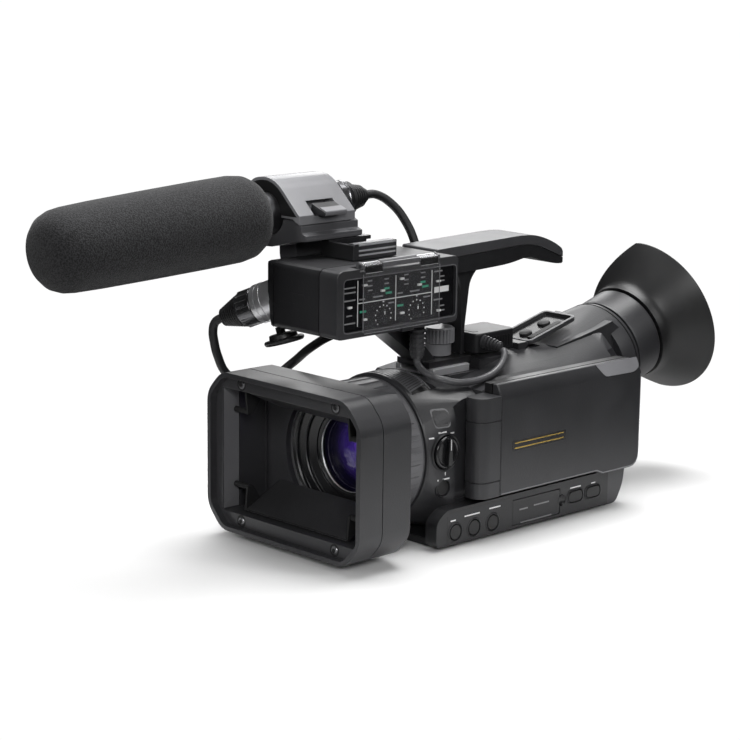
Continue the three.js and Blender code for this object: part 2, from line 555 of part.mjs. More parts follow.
// ---- audio module -----------------------------------------------------------------------------
function addModule() {
  const { left, seam, right, front, rear, bottom, top } = MODULE;
  const end = [[front, bottom, 3], [rear, bottom, 3], [rear, top, 3], [front, top, 4]];
  const caseOuter = along([[left + 4.5, bottom, 2], [seam, bottom], [seam, top], [left, top, 5],
    [left, top - 12, 3]], front, rear);
  const plan = upward([[left, front + 1.8, 1.5], [left + 7, front, 3], [60, front], [60, rear],
    [left, rear, 3]], 0, 200);
  const caseShell = cut(caseOuter.intersect(across(end, -60, 60)).intersect(plan),
    block(left + 3, seam + 1, front + WALL, rear - WALL, bottom + WALL, top - WALL),
    onPlugAxis(rod(PLUG.radius + 0.4, -11.6, 6)));
  add('module_case', caseShell, COLOUR.dark);
  const frameBody = across(end, seam + GAP, right);
  const frame = cut(frameBody,
    across(rectangle(14.3, 86.5, 65, 89.1, 2), 22.3, right + 1),
    block(seam - 1, 19.8, front + WALL, rear - WALL, bottom + WALL, top - WALL),
    block(19, 40, 24.2, 74.6, 92, 99));
  add('module_side_frame', frame, COLOUR.charcoal);
  const face = cut(across(rectangle(14.6, 86.2, 65.3, 88.8, 1.6), 22.6, 25),
    ...KNOB.places.map((y) => disc(KNOB.radius + 0.4, 23, 26, y, KNOB.z, 20)));
  add('control_panel', face, COLOUR.gloss, { rough: 0.2 });
  KNOB.places.forEach((y, i) => {
    add(`level_knob_${i + 1}`, disc(KNOB.radius, 23.4, 26.2, y, KNOB.z, 20), COLOUR.black);
  });
  const barrel = toSolid(rod(DOOR.radius, DOOR.front, DOOR.rear, 12).translate(DOOR.x, 0, DOOR.z));
  const web = block(DOOR.x, 28, DOOR.front, DOOR.rear, 93.6, 95.4);
  const sheet = block(26.8, 28, DOOR.front, DOOR.rear, 63.4, 95);
  add('control_door', join(barrel, web, sheet), COLOUR.light, { rough: 0.2 });
  const rails = along([[-13, top + GAP], [9, top + GAP], [9, 101.4], [4.4, 101.4], [4.4, 99.6],
    [7.4, 99.6], [7.4, 96.8], [-11.4, 96.8], [-11.4, 99.6], [-8.4, 99.6], [-8.4, 101.4],
    [-13, 101.4]], 37, 64);
  const stop = across([[36, top + GAP], [38.6, top + GAP], [38.6, 100.9], [36.4, 100.9, 0.4]], -13, 9);
  add('accessory_shoe', join(rails, stop), COLOUR.dark, { rough: 0.3, metal: 0.6 });
  add('module_cable_boot', wheel(BOOT.radius, BOOT.bottom, bottom - 0.5, BOOT.x, BOOT.y, 12),
    COLOUR.rubber);
}

// ---- microphone -------------------------------------------------------------------------------
function addMicrophone() {
  const line = new THREE.Group();
  line.position.set(MIC.x, 0, MIC.z);
  line.rotation.x = MIC.pitch * Math.PI / 180;
  camcorder.add(line);
  add('microphone', turned([[0, -96], [9.4, -96], [MIC.tube, -94], [MIC.tube, 56], [9, 59.4],
    [0, 59.4]], 28), COLOUR.dark, { rough: 0.4, metal: 0.6, parent: line });
  const foam = MIC.foam;
  add('windscreen', turned([[0, -108.6], [8, -108.2], [13.6, -106.4], [17.4, -102.4], [19.2, -96],
    [foam - 0.3, -40], [foam, -2], [foam - 0.8, 5], [foam - 3.4, 10], [foam - 7, 12.2], [10.4, 12.6],
    [10.4, -98], [0, -98]], 36), COLOUR.foam, { rough: 1, parent: line });
  add('mic_connector', turned([[0, 59.8], [9.5, 59.8], [9.5, 70], [8, 72], [6.4, 75], [4.4, 84],
    [0, 84]], 24), COLOUR.metal, { rough: 0.3, metal: 1, parent: line });
  addHolder();
}

function addHolder() {
  const { x, z } = MIC;
  const pitch = MIC.pitch * Math.PI / 180;
  const seat = toSolid(rod(MIC.tube + 0.4, 0, 80, 28).rotateX(pitch).translate(x, 0, z));
  const cradle = along([[-52, 111.2, 1], [-50, 101, 5], [-40, 96.5], [-32, 97], [-14, 101.4],
    [-8, 101.8, 1], [-8, 104.6], [-11, 105.6], [-11, 108.8], [-16, 111.2]], 22, 58);
  const arm = along([[-40, 99], [-40, 90, 3], [-32, 76, 2], [MODULE.left - GAP, 76],
    [MODULE.left - GAP, 87], [-28, 92], [-28, 99]], 34, 52);
  add('mic_holder_base', cut(join(cradle, arm), seat), COLOUR.dark);
  const lid = along([[-52, 111.6], [-51.6, 120, 6], [-44, 128.6, 4], [-34, 130.2, 5], [-26, 127.6, 4],
    [-11, 113.6], [-11, 109.3], [-16, 111.7]], 20.6, 56);
  const notch = block(-22, -5, 30, 47, 113, 119.4);
  add('mic_holder_lid', cut(lid, seat, notch), COLOUR.charcoal);
}

// ---- input plug, cap and cables ---------------------------------------------------------------
// Lays a solid made about the y axis onto the input plug's slanting axis.
function onPlugAxis(geometry) {
  const from = new THREE.Vector3(0, 1, 0);
  const to = new THREE.Vector3(...PLUG.axis).normalize();
  const turn = new THREE.Quaternion().setFromUnitVectors(from, to);
  return toSolid(geometry.applyQuaternion(turn).translate(...PLUG.at));
}

function addInputs() {
  const plug = onPlugAxis(turned([[0, -11.4], [PLUG.radius, -11.4], [PLUG.radius, 3.4], [9, 4],
    [9, 12.4], [8.2, 13], [4.4, 25], [0, 25]], 28));
  add('xlr_plug', plug, COLOUR.metal, { rough: 0.3, metal: 1 });
  const cap = new THREE.Group();
  cap.position.set(-23, 22, 54.6);
  cap.rotation.set(0.1, -0.26, 0);
  camcorder.add(cap);
  add('xlr_socket_cap', join(wheel(9.6, -2.2, 0.4, 0, 0), wheel(7, 0.2, 2.6, 0, 0),
    wheel(2.4, 2.4, 5.4, -1, 0, 12)), COLOUR.rubber, { parent: cap });
}

function addCables() {
  const micRoute = [[MIC.x, 84.2, 116.25], [-33.2, 91, 115.8], [-29.6, 98.4, 110.8],
    [-25, 103.2, 102.5], [-20.6, 105.6, 92], [-17, 106, 78], [-16.5, 96, 63], [-18.5, 75, 55.4],
    [-23, 54, 52.4], [-32, 47.5, 45.5], [-43, 45.5, 36.5], [-51.5, 38.5, 28], [-57, 27, 25.5],
    [-58.6, 16.5, 33], [-58.8, 11.5, 42], [-59.1, 9.6, 49], [-59, 8.8, 54.6], [-57.6, 8.8, 58.6],
    [-55.4, 9.42, 60.57], [-53.62, 10.06, 61.37]];
  add('mic_cable', cord(micRoute, 2.15, 50), COLOUR.black);
  const moduleRoute = [[12, 75.6, 43.1], [12.2, 75.6, 41.4], [14.6, 75.4, 39.2], [19, 75.6, 37],
    [25, 78.4, 35], [28.4, 85.4, 33], [29.6, 94, 32.2], [30, 103, 32.8], [29.8, 111, 34.8],
    [29, 117, 38.2], [27.4, 120.4, 41.6], [25.4, 121.4, 43.6]];
  add('module_cable', cord(moduleRoute, 1.7, 24), COLOUR.light);
  const boot = toSolid(rod(3.4, 0, 10.6, 12).rotateZ(-Math.PI / 2).rotateY(0.12).rotateZ(0.2)
    .translate(13.5, 120, 46));
  const plug = upward(rectangle(-8, 14, 114.6, 143, 3), 40, 50.4);
  add('module_cable_plug', join(plug, boot), COLOUR.black);
}

addHood();
addShutter();
addLens();
addFrontHousing();
addRearBody();
addBase();
addControlPanel();
addMonitor();
addViewfinder();
addGrip();
addJackCover();
addHandle();
addModule();
addMicrophone();
addInputs();
addCables();

camcorder.position.set(0, -ORIGIN_Y, LENS_HEIGHT);
const part = new THREE.Group();
part.add(camcorder);

export default part;
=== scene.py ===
import math

import bmesh
import bpy
from mathutils import Matrix, Vector


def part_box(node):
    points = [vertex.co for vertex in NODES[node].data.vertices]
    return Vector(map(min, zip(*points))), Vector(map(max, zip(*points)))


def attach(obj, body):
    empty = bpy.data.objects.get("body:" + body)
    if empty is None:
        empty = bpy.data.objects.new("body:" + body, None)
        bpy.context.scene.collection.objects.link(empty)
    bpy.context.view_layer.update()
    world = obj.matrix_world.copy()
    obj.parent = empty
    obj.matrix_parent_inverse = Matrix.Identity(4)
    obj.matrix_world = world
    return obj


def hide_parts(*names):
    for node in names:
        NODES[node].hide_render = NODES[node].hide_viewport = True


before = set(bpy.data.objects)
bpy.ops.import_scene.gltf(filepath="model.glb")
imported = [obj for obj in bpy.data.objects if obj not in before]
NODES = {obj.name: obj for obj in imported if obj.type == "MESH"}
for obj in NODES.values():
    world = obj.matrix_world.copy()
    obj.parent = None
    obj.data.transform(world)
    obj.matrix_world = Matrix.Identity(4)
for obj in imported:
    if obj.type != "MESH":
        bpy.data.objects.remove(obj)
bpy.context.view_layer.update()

MM = 0.001

# The lens axis and the front rim of the hood place everything: spot() takes millimetres from there,
# +x to the monitor side, +y towards the viewfinder and +z up, as the part's own source does.
ring_low, ring_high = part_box("focus_ring")
LENS = Vector(((ring_low.x + ring_high.x) / 2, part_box("hood_front_frame")[0].y,
               (ring_low.z + ring_high.z) / 2))
TO_FRAME = Matrix.Translation(LENS) @ Matrix.Scale(MM, 4)


def spot(x, y, z):
    return TO_FRAME @ Vector((x, y, z))


# ---- camera and light -------------------------------------------------------------------------
CAMERA = {"at": (0.7564, -0.7912, 0.3021), "azimuth": 46.115, "elevation": 11.932, "roll": 0.699,
          "lens": 109.96}


def add_camera():
    azimuth, elevation, roll = (math.radians(CAMERA[k]) for k in ("azimuth", "elevation", "roll"))
    back = Vector((math.sin(azimuth) * math.cos(elevation), -math.cos(azimuth) * math.cos(elevation),
                   math.sin(elevation)))
    level = Vector((math.cos(azimuth), math.sin(azimuth), 0))
    upright = back.cross(level)
    right = level * math.cos(roll) + upright * math.sin(roll)
    up = upright * math.cos(roll) - level * math.sin(roll)
    turn = Matrix((right, up, back)).transposed().to_4x4()
    camera = bpy.data.objects.new("camera", bpy.data.cameras.new("camera"))
    camera.matrix_world = Matrix.Translation(CAMERA["at"]) @ turn
    camera.data.lens = CAMERA["lens"]
    camera.data.sensor_width = 36
    bpy.context.scene.collection.objects.link(camera)
    bpy.context.scene.camera = camera


def add_light(name, at, towards, size, power, colour=(1, 1, 1)):
    light = bpy.data.lights.new(name, "AREA")
    light.shape = "RECTANGLE"
    light.size, light.size_y = size
    light.energy = power
    light.color = colour
    lamp = bpy.data.objects.new(name, light)
    lamp.location = at
    lamp.rotation_mode = "QUATERNION"
    lamp.rotation_quaternion = (Vector(towards) - Vector(at)).to_track_quat("-Z", "Y")
    bpy.context.scene.collection.objects.link(lamp)


def add_sky():
    """A pale room: plain white behind the object, and light that comes mostly from above."""
    world = bpy.data.worlds.new("studio")
    bpy.context.scene.world = world
    world.use_nodes = True
    tree = world.node_tree
    light = tree.nodes["Background"]
    white = tree.nodes.new("ShaderNodeBackground")
    white.inputs["Color"].default_value = (1, 1, 1, 1)
    white.inputs["Strength"].default_value = 1.02
    place = tree.nodes.new("ShaderNodeTexCoord")
    split = tree.nodes.new("ShaderNodeSeparateXYZ")
    tree.links.new(place.outputs["Generated"], split.inputs[0])
    tree.links.new(spread(tree, split.outputs["Z"], 0.16, 1.1, -0.05, 0.9), light.inputs["Strength"])
    path = tree.nodes.new("ShaderNodeLightPath")
    choice = tree.nodes.new("ShaderNodeMixShader")
    tree.links.new(path.outputs["Is Camera Ray"], choice.inputs["Fac"])
    tree.links.new(light.outputs[0], choice.inputs[1])
    tree.links.new(white.outputs[0], choice.inputs[2])
    tree.links.new(choice.outputs[0], tree.nodes["World Output"].inputs["Surface"])


FLOOR = {"middle": (0, -0.03), "start": 0.12, "end": 0.32}   # metres; the fade's two radii


def add_floor():
    """A round pale floor whose edge fades into the white room."""
    shape = bmesh.new()
    bmesh.ops.create_circle(shape, cap_ends=True, segments=96, radius=FLOOR["end"] * 1.05)
    mesh = bpy.data.meshes.new("floor")
    shape.to_mesh(mesh)
    shape.free()
    floor = bpy.data.objects.new("floor", mesh)
    floor.location = (*FLOOR["middle"], -0.3 * MM)
    paper, shader = new_look("floor_paper", (0.8, 0.8, 0.8), 0.9)
    shader.inputs["Specular IOR Level"].default_value = 0.1
    tree = paper.node_tree
    place = tree.nodes.new("ShaderNodeTexCoord")
    distance = tree.nodes.new("ShaderNodeVectorMath")
    distance.operation = "LENGTH"
    tree.links.new(place.outputs["Object"], distance.inputs[0])
    tree.links.new(spread(tree, distance.outputs["Value"], 1, 0, FLOOR["start"], FLOOR["end"]),
                   shader.inputs["Alpha"])
    mesh.materials.append(paper)
    bpy.context.scene.collection.objects.link(floor)


def add_studio():
    add_sky()
    middle = (0, 0, 0.08)
    add_light("overhead", (-0.15, 0.2, 1.3), middle, (1.1, 0.8), 28)
    add_light("fill", (1.15, -1.0, 0.75), middle, (0.4, 0.4), 9)
    add_light("front", (-0.1, -1.5, 0.7), middle, (0.35, 0.7), 6)
    add_light("side", (1.4, 0.55, 0.95), middle, (0.3, 0.9), 6)
    add_light("back", (-0.9, 1.2, 0.7), middle, (0.9, 0.6), 7)
    bpy.context.scene.view_settings.view_transform = "Standard"
    add_floor()


# ---- materials --------------------------------------------------------------------------------
def new_look(name, colour, rough, metal=0.0):
    look = bpy.data.materials.new(name)
    look.use_nodes = True
    shader = look.node_tree.nodes["Principled BSDF"]
    shader.inputs["Base Color"].default_value = (*colour, 1)
    shader.inputs["Roughness"].default_value = rough
    shader.inputs["Metallic"].default_value = metal
    return look, shader


def noise(tree, scale, detail=2.0, stretch=(1, 1, 1)):
    """A noise pattern in the object's own coordinates; scale is how many spots fit in a metre."""
    place = tree.nodes.new("ShaderNodeTexCoord")
    mapping = tree.nodes.new("ShaderNodeMapping")
    mapping.inputs["Scale"].default_value = stretch
    pattern = tree.nodes.new("ShaderNodeTexNoise")
    pattern.inputs["Scale"].default_value = scale
    pattern.inputs["Detail"].default_value = detail
    tree.links.new(place.outputs["Object"], mapping.inputs["Vector"])
    tree.links.new(mapping.outputs["Vector"], pattern.inputs["Vector"])
    return pattern.outputs["Fac"]


def spread(tree, value, low, high, start=0.35, end=0.65):
    """Turns a pattern into numbers from low to high."""
    ramp = tree.nodes.new("ShaderNodeMapRange")
    ramp.inputs["From Min"].default_value = start
    ramp.inputs["From Max"].default_value = end
    ramp.inputs["To Min"].default_value = low
    ramp.inputs["To Max"].default_value = high
    tree.links.new(value, ramp.inputs["Value"])
    return ramp.outputs["Result"]


def blend_colours(tree, value, dark, light):
    mix = tree.nodes.new("ShaderNodeMix")
    mix.data_type = "RGBA"
    mix.inputs["A"].default_value = (*dark, 1)
    mix.inputs["B"].default_value = (*light, 1)
    tree.links.new(value, mix.inputs["Factor"])
    return mix.outputs["Result"]


def add_bump(tree, shader, height, depth):
    bump = tree.nodes.new("ShaderNodeBump")
    bump.inputs["Distance"].default_value = depth * MM
    bump.inputs["Strength"].default_value = 1
    tree.links.new(height, bump.inputs["Height"])
    tree.links.new(bump.outputs["Normal"], shader.inputs["Normal"])


def moulded(name, colour, rough, grain=1600, depth=0.03, mottle=0.12, metal=0.0):
    """Moulded or cast material: fine grain, with slow changes in its shade and gloss."""
    look, shader = new_look(name, colour, rough, metal)
    tree = look.node_tree
    slow = noise(tree, 24, 3)
    shade = spread(tree, slow, 0, 1)
    dark = [c * (1 - mottle) for c in colour]
    light = [c * (1 + mottle) for c in colour]
    tree.links.new(blend_colours(tree, shade, dark, light), shader.inputs["Base Color"])
    tree.links.new(spread(tree, slow, rough * 0.9, min(1, rough * 1.12)), shader.inputs["Roughness"])
    add_bump(tree, shader, noise(tree, grain), depth)
    return look


def foam(name):
    """Open foam: dark pores between slightly lighter cell walls."""
    look, shader = new_look(name, (0.025, 0.025, 0.026), 1)
    tree = look.node_tree
    cells = noise(tree, 1500, 1)
    tree.links.new(blend_colours(tree, spread(tree, cells, 0, 1, 0.36, 0.66), (0.011, 0.011, 0.0115),
                                 (0.04, 0.04, 0.0425)), shader.inputs["Base Color"])
    shader.inputs["Specular IOR Level"].default_value = 0.15
    shader.inputs["Sheen Weight"].default_value = 0.12
    shader.inputs["Sheen Roughness"].default_value = 0.6
    add_bump(tree, shader, cells, 0.3)
    return look


def webbing(name):
    """Woven tape: two crossing sets of threads."""
    look, shader = new_look(name, (0.02, 0.02, 0.021), 0.9)
    tree = look.node_tree
    place = tree.nodes.new("ShaderNodeTexCoord")
    heights = []
    for direction in ("Z", "Y"):
        threads = tree.nodes.new("ShaderNodeTexWave")
        threads.bands_direction = direction
        threads.inputs["Scale"].default_value = 330
        tree.links.new(place.outputs["Object"], threads.inputs["Vector"])
        heights.append(threads.outputs["Fac"])
    weave = tree.nodes.new("ShaderNodeMath")
    weave.operation = "MULTIPLY"
    tree.links.new(heights[0], weave.inputs[0])
    tree.links.new(heights[1], weave.inputs[1])
    tree.links.new(blend_colours(tree, weave.outputs[0], (0.008, 0.008, 0.009), (0.035, 0.035, 0.037)),
                   shader.inputs["Base Color"])
    shader.inputs["Sheen Weight"].default_value = 0.25
    add_bump(tree, shader, weave.outputs[0], 0.25)
    return look


def glass_with_painted_glint(name, glint_centre, colour, alpha, glint_reach=0.0135, painted_glow=0.0):
    """Lens glass with a painted reflection round one point that fades to near black at the rim, and a painted
    glow.
    """
    look, shader = new_look(name, colour, 0.04)
    tree = look.node_tree
    place = tree.nodes.new("ShaderNodeTexCoord")
    distance = tree.nodes.new("ShaderNodeVectorMath")
    distance.operation = "DISTANCE"
    distance.inputs[1].default_value = glint_centre
    tree.links.new(place.outputs["Object"], distance.inputs[0])
    fade = spread(tree, distance.outputs["Value"], 0, 1, 0.003, glint_reach)
    coating_and_painted_glint = blend_colours(tree, fade, colour, (0.004, 0.003, 0.014))
    tree.links.new(coating_and_painted_glint, shader.inputs["Base Color"])
    tree.links.new(coating_and_painted_glint, shader.inputs["Emission Color"])
    # Emission is a painted glow, as if the glass were a lamp.
    shader.inputs["Emission Strength"].default_value = painted_glow
    shader.inputs["Coat Weight"].default_value = 1
    shader.inputs["Coat Roughness"].default_value = 0.02
    shader.inputs["Alpha"].default_value = alpha
    return look


def window(name, colour, alpha):
    """Clear sheet, almost see-through."""
    look, shader = new_look(name, colour, 0.03)
    shader.inputs["Alpha"].default_value = alpha
    shader.inputs["Specular IOR Level"].default_value = 0.05
    tree = look.node_tree
    tree.links.new(spread(tree, noise(tree, 60), 0.2, 0.3), shader.inputs["Roughness"])
    return look


LOOKS = {
    "casing": moulded("casing", (0.028, 0.028, 0.0305), 0.4, 1000, 0.05),
    "casing_dark": moulded("casing_dark", (0.014, 0.014, 0.0155), 0.38, 1000, 0.045),
    "black_plastic": moulded("black_plastic", (0.0075, 0.0075, 0.008), 0.4, depth=0.015),
    "gloss_black": moulded("gloss_black", (0.008, 0.008, 0.009), 0.24, depth=0.006),
    "control_print": moulded("control_print", (0.006, 0.006, 0.007), 0.22, depth=0.003),
    "rubber": moulded("rubber", (0.011, 0.011, 0.012), 0.5, 900, 0.02),
    "foam": foam("foam"),
    "strap": webbing("strap"),
    # The lens glass carries a painted violet reflection up and towards the monitor side of the axis, and a
    # faint painted glow.
    "lens_glass": glass_with_painted_glint("lens_glass", spot(12, 43, 6), (0.08, 0.035, 0.38), 0.42, 0.021, 0.35),
    "screen": moulded("screen", (0.005, 0.005, 0.006), 0.1, depth=0.001),
    "clear_sheet": moulded("clear_sheet", (0.06, 0.06, 0.064), 0.35, depth=0.004),
    "satin_metal": moulded("satin_metal", (0.82, 0.82, 0.84), 0.36, 2200, 0.006, 0.06, 0.85),
    "dark_metal": moulded("dark_metal", (0.12, 0.12, 0.126), 0.34, 2200, 0.008, 0.1, 1.0),
    "grille_metal": moulded("grille_metal", (0.02, 0.02, 0.022), 0.35, 1800, 0.01, 0.1, 0.3),
    "record_red": moulded("record_red", (0.36, 0.018, 0.016), 0.35),
    "cable_grey": moulded("cable_grey", (0.085, 0.085, 0.09), 0.36, 1200, 0.008),
}
# Looks that are not slots of the frame: each with the slot that it belongs to.
EXTRA = {
    "white_print": (moulded("white_print", (0.72, 0.72, 0.72), 0.4), "control_print"),
    "grey_print": (moulded("grey_print", (0.2, 0.2, 0.205), 0.4), "control_print"),
    "green_print": (moulded("green_print", (0.03, 0.30, 0.18), 0.4), "control_print"),
    "gold_print": (moulded("gold_print", (0.62, 0.42, 0.10), 0.3, metal=0.8), "casing_dark"),
    # The inner lens carries a painted violet reflection that also glows strongly: painted light.
    "inner_coating_painted_glow": (glass_with_painted_glint("inner_coating_painted_glow", spot(10, 51, 5), (0.36, 0.16, 1.0), 1, 0.0145, 1.7),
                      "lens_glass"),
    # A light grey of the holder and the clamp wheel, also used as a painted highlight on the monitor's rim.
    "holder_and_highlight_grey": (moulded("holder_and_highlight_grey", (0.19, 0.19, 0.2), 0.34, depth=0.02), "casing"),
    "cradle_grey": (moulded("cradle_grey", (0.075, 0.075, 0.08), 0.38, depth=0.02), "casing_dark"),
    # A lighter copy of casing: on the handle's top it is painted light falling from above; the battery door
    # shares it.
    "handle_grey": (moulded("handle_grey", (0.05, 0.05, 0.054), 0.4, 1000, 0.04), "casing"),
    # A light grey that paints the light falling on the hood's inner side walls.
    "painted_light_grey": (moulded("painted_light_grey", (0.13, 0.13, 0.136), 0.6, 900, 0.06), "casing"),
    # The near-black below is the flaps' own colour, and is also used as painted shade in the focus ring's
    # grooves and the hood screws' sockets.
    "flap_black": (moulded("flap_black", (0.0035, 0.0035, 0.004), 0.75), "black_plastic"),
    "flap_skin": (moulded("flap_skin", (0.02, 0.02, 0.0215), 0.6, 700, 0.08), "black_plastic"),
    # This grey is used for real trims and ribs, and also for painted highlights on the focus ring.
    "trim_and_highlight_grey": (moulded("trim_and_highlight_grey", (0.11, 0.11, 0.116), 0.35, depth=0.01), "casing"),
    # A dark rubber grey for boots and rims, also used as a painted highlight on the eyecup's lip.
    "black_rim_and_highlight": (moulded("black_rim_and_highlight", (0.05, 0.05, 0.053), 0.3, depth=0.006), "rubber"),
    "clip_chrome": (moulded("clip_chrome", (0.68, 0.68, 0.7), 0.2, 2200, 0.004, 0.05, 1.0),
                    "clear_sheet"),
    "door_window": (window("door_window", (0.4, 0.4, 0.42), 0.045), "clear_sheet"),
    "ring_pads": (moulded("ring_pads", (0.12, 0.12, 0.126), 0.42, depth=0.02), "rubber"),
    # The eyecup's own near-black, also used as painted shade inside the holder's lid.
    "cup_rubber_and_hollow_shade": (moulded("cup_rubber_and_hollow_shade", (0.0065, 0.0065, 0.007), 0.46, 900, 0.015), "rubber"),
    # Dark steel for collars and screws, also used as a painted highlight on the jack cover's rim.
    "collar_steel_and_highlight": (moulded("collar_steel_and_highlight", (0.2, 0.2, 0.208), 0.3, 2200, 0.006, 0.1, 1.0),
                     "satin_metal"),
}


# ---- shading and shaping ----------------------------------------------------------------------
def smooth_by_angle():
    """Node group that shades a mesh smooth and keeps only its steeper edges sharp."""
    group = bpy.data.node_groups.new("smooth_by_angle", "GeometryNodeTree")
    group.interface.new_socket("Geometry", in_out="INPUT", socket_type="NodeSocketGeometry")
    group.interface.new_socket("Geometry", in_out="OUTPUT", socket_type="NodeSocketGeometry")
    start = group.nodes.new("NodeGroupInput")
    end = group.nodes.new("NodeGroupOutput")
    forget = group.nodes.new("GeometryNodeRemoveAttribute")
    forget.inputs["Name"].default_value = "custom_normal"
    faces = group.nodes.new("GeometryNodeSetShadeSmooth")
    edges = group.nodes.new("GeometryNodeSetShadeSmooth")
    edges.domain = "EDGE"
    angle = group.nodes.new("GeometryNodeInputMeshEdgeAngle")
    gentle = group.nodes.new("ShaderNodeMath")
    gentle.operation = "LESS_THAN"
    gentle.inputs[1].default_value = math.radians(34)
    group.links.new(start.outputs[0], forget.inputs[0])
    group.links.new(forget.outputs[0], faces.inputs["Geometry"])
    group.links.new(faces.outputs[0], edges.inputs["Geometry"])
    group.links.new(angle.outputs[0], gentle.inputs[0])
    group.links.new(gentle.outputs[0], edges.inputs["Shade Smooth"])
    group.links.new(edges.outputs[0], end.inputs[0])
    return group


SMOOTH = smooth_by_angle()


def soften(obj, bevel=0.0, segments=2, limit=28):
    """Rounds an object's edges by bevel millimetres and shades it by angle."""
    if bevel:
        rounding = obj.modifiers.new("rounding", "BEVEL")
        rounding.width = bevel * MM
        rounding.segments = segments
        rounding.limit_method = "ANGLE"
        rounding.angle_limit = math.radians(limit)
    shading = obj.modifiers.new("shading", "NODES")
    shading.node_group = SMOOTH
    weighting = obj.modifiers.new("weighting", "WEIGHTED_NORMAL")
    weighting.keep_sharp = True


def dress(node, bevel, segments=2, look=None):
    """Gives a CAD node its material and rounds its edges with modifiers only."""
    obj = NODES[node]
    slot = obj.material_slots[0].material.name.split(".")[0]
    material = EXTRA[look][0] if look in EXTRA else LOOKS[look or slot]
    obj.material_slots[0].material = material
    weld = obj.modifiers.new("weld", "WELD")
    weld.merge_threshold = 0.002 * MM
    planes = obj.modifiers.new("planes", "DECIMATE")
    planes.decimate_type = "DISSOLVE"
    planes.angle_limit = math.radians(0.5)
    soften(obj, bevel, segments)


BEVELS = {
    "hood_front_frame": 0.7, "hood_rear_shell": 0.7, "shutter_flap_upper": 0.06,
    "shutter_flap_lower": 0.06, "lens_barrel": 0.15, "sensor_block": 0.3, "focus_ring": 0.2,
    "front_housing": 0.4, "focus_push_button": 0.4, "top_cover": 0.7, "left_side_casing": 0.6,
    "right_side_casing": 0.6, "bottom_cover": 0.5, "battery": 1, "battery_door": 1.2,
    "lower_control_panel": 0.35, "assign_button_1": 0.5, "assign_button_2": 0.5,
    "assign_button_3": 0.5, "display_button": 0.5, "menu_button": 0.5, "port_cover": 0.3,
    "lcd_back_shell": 1.1, "lcd_bezel": 0.5, "lcd_screen": 0.3, "viewfinder_housing": 0.9,
    "zoom_rocker": 0.8, "record_button": 0.6, "handle_top": 2.2, "handle_frame": 1.6,
    "camera_shoe": 0.3, "handle_foot": 0.8, "thumb_wheel": 0.35, "module_case": 1.2,
    "module_side_frame": 2.0, "control_panel": 0.2, "level_knob_1": 0.3, "level_knob_2": 0.3,
    "accessory_shoe": 0.35, "microphone": 0.4, "mic_holder_base": 0.6, "mic_holder_lid": 1.0,
}


NODE_LOOKS = {"mic_holder_lid": "holder_and_highlight_grey", "mic_holder_base": "cradle_grey",
              "focus_ring": "ring_pads",
              # The handle top's lighter grey is painted light from above.
              "handle_top": "handle_grey", "battery_door": "handle_grey",
              "shutter_flap_upper": "flap_black", "shutter_flap_lower": "flap_black"}


def dress_frame():
    for node, bevel in BEVELS.items():
        look = NODE_LOOKS.get(node)
        dress(node, bevel, 3 if bevel > 1 else 2, look)


def piece(name, shape, look, body="camera", stands_for=(), bevel=0.0, segments=2):
    """Makes an object from a bmesh laid out in lens-axis millimetres, and rides it on a body."""
    material, slot = EXTRA[look] if look in EXTRA else (LOOKS[look], look)
    shape.transform(TO_FRAME)
    bmesh.ops.recalc_face_normals(shape, faces=shape.faces)
    mesh = bpy.data.meshes.new(name)
    shape.to_mesh(mesh)
    shape.free()
    mesh.materials.append(material)
    obj = bpy.data.objects.new(name, mesh)
    bpy.context.scene.collection.objects.link(obj)
    soften(obj, bevel, segments)
    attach(obj, body)
    if stands_for:
        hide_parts(*([stands_for] if isinstance(stands_for, str) else stands_for))
    return obj


def turn_x(angle):
    return Matrix.Rotation(math.radians(angle), 4, "X")


def move(x, y, z):
    return Matrix.Translation((x, y, z))


def lathe(shape, profile, place=Matrix(), sides=64, warp=None):
    """Turns [radius, y] points about the y axis; rows that start and end on the axis close."""
    rings = []
    for radius, y in profile:
        if radius < 1e-6:
            rings.append([shape.verts.new(place @ Vector((0, y, 0)))])
            continue
        ring = []
        for i in range(sides):
            angle = 2 * math.pi * i / sides
            point = Vector((radius * math.cos(angle), y, radius * math.sin(angle)))
            ring.append(shape.verts.new(place @ (warp(point) if warp else point)))
        rings.append(ring)
    for first, second in zip(rings, rings[1:]):
        for i in range(sides):
            j = (i + 1) % sides
            corners = [first[i % len(first)], first[j % len(first)],
                       second[j % len(second)], second[i % len(second)]]
            corners = list(dict.fromkeys(corners))
            if len(corners) > 2:
                shape.faces.new(corners)


def closed_lathe(shape, profile, place=Matrix(), sides=64, warp=None):
    lathe(shape, [*profile, profile[0]], place, sides, warp)
    bmesh.ops.remove_doubles(shape, verts=shape.verts, dist=1e-5)


def rounded(corners, steps=4):
    """Rounds the corners of an outline whose points are (a, b) or (a, b, radius)."""
    points = []
    count = len(corners)
    for i, corner in enumerate(corners):
        here = Vector(corner[:2])
        radius = corner[2] if len(corner) > 2 else 0
        if not radius:
            points.append(here)
            continue
        before = Vector(corners[i - 1][:2]) - here
        after = Vector(corners[(i + 1) % count][:2]) - here
        start = here + before.normalized() * min(radius, before.length * 0.49)
        end = here + after.normalized() * min(radius, after.length * 0.49)
        for k in range(steps + 1):
            t = k / steps
            points.append(start * (1 - t) ** 2 + here * 2 * t * (1 - t) + end * t ** 2)
    return points


PLANES = {"x": lambda a, b, c: (c, a, b), "y": lambda a, b, c: (a, c, b), "z": lambda a, b, c: (a, b, c)}


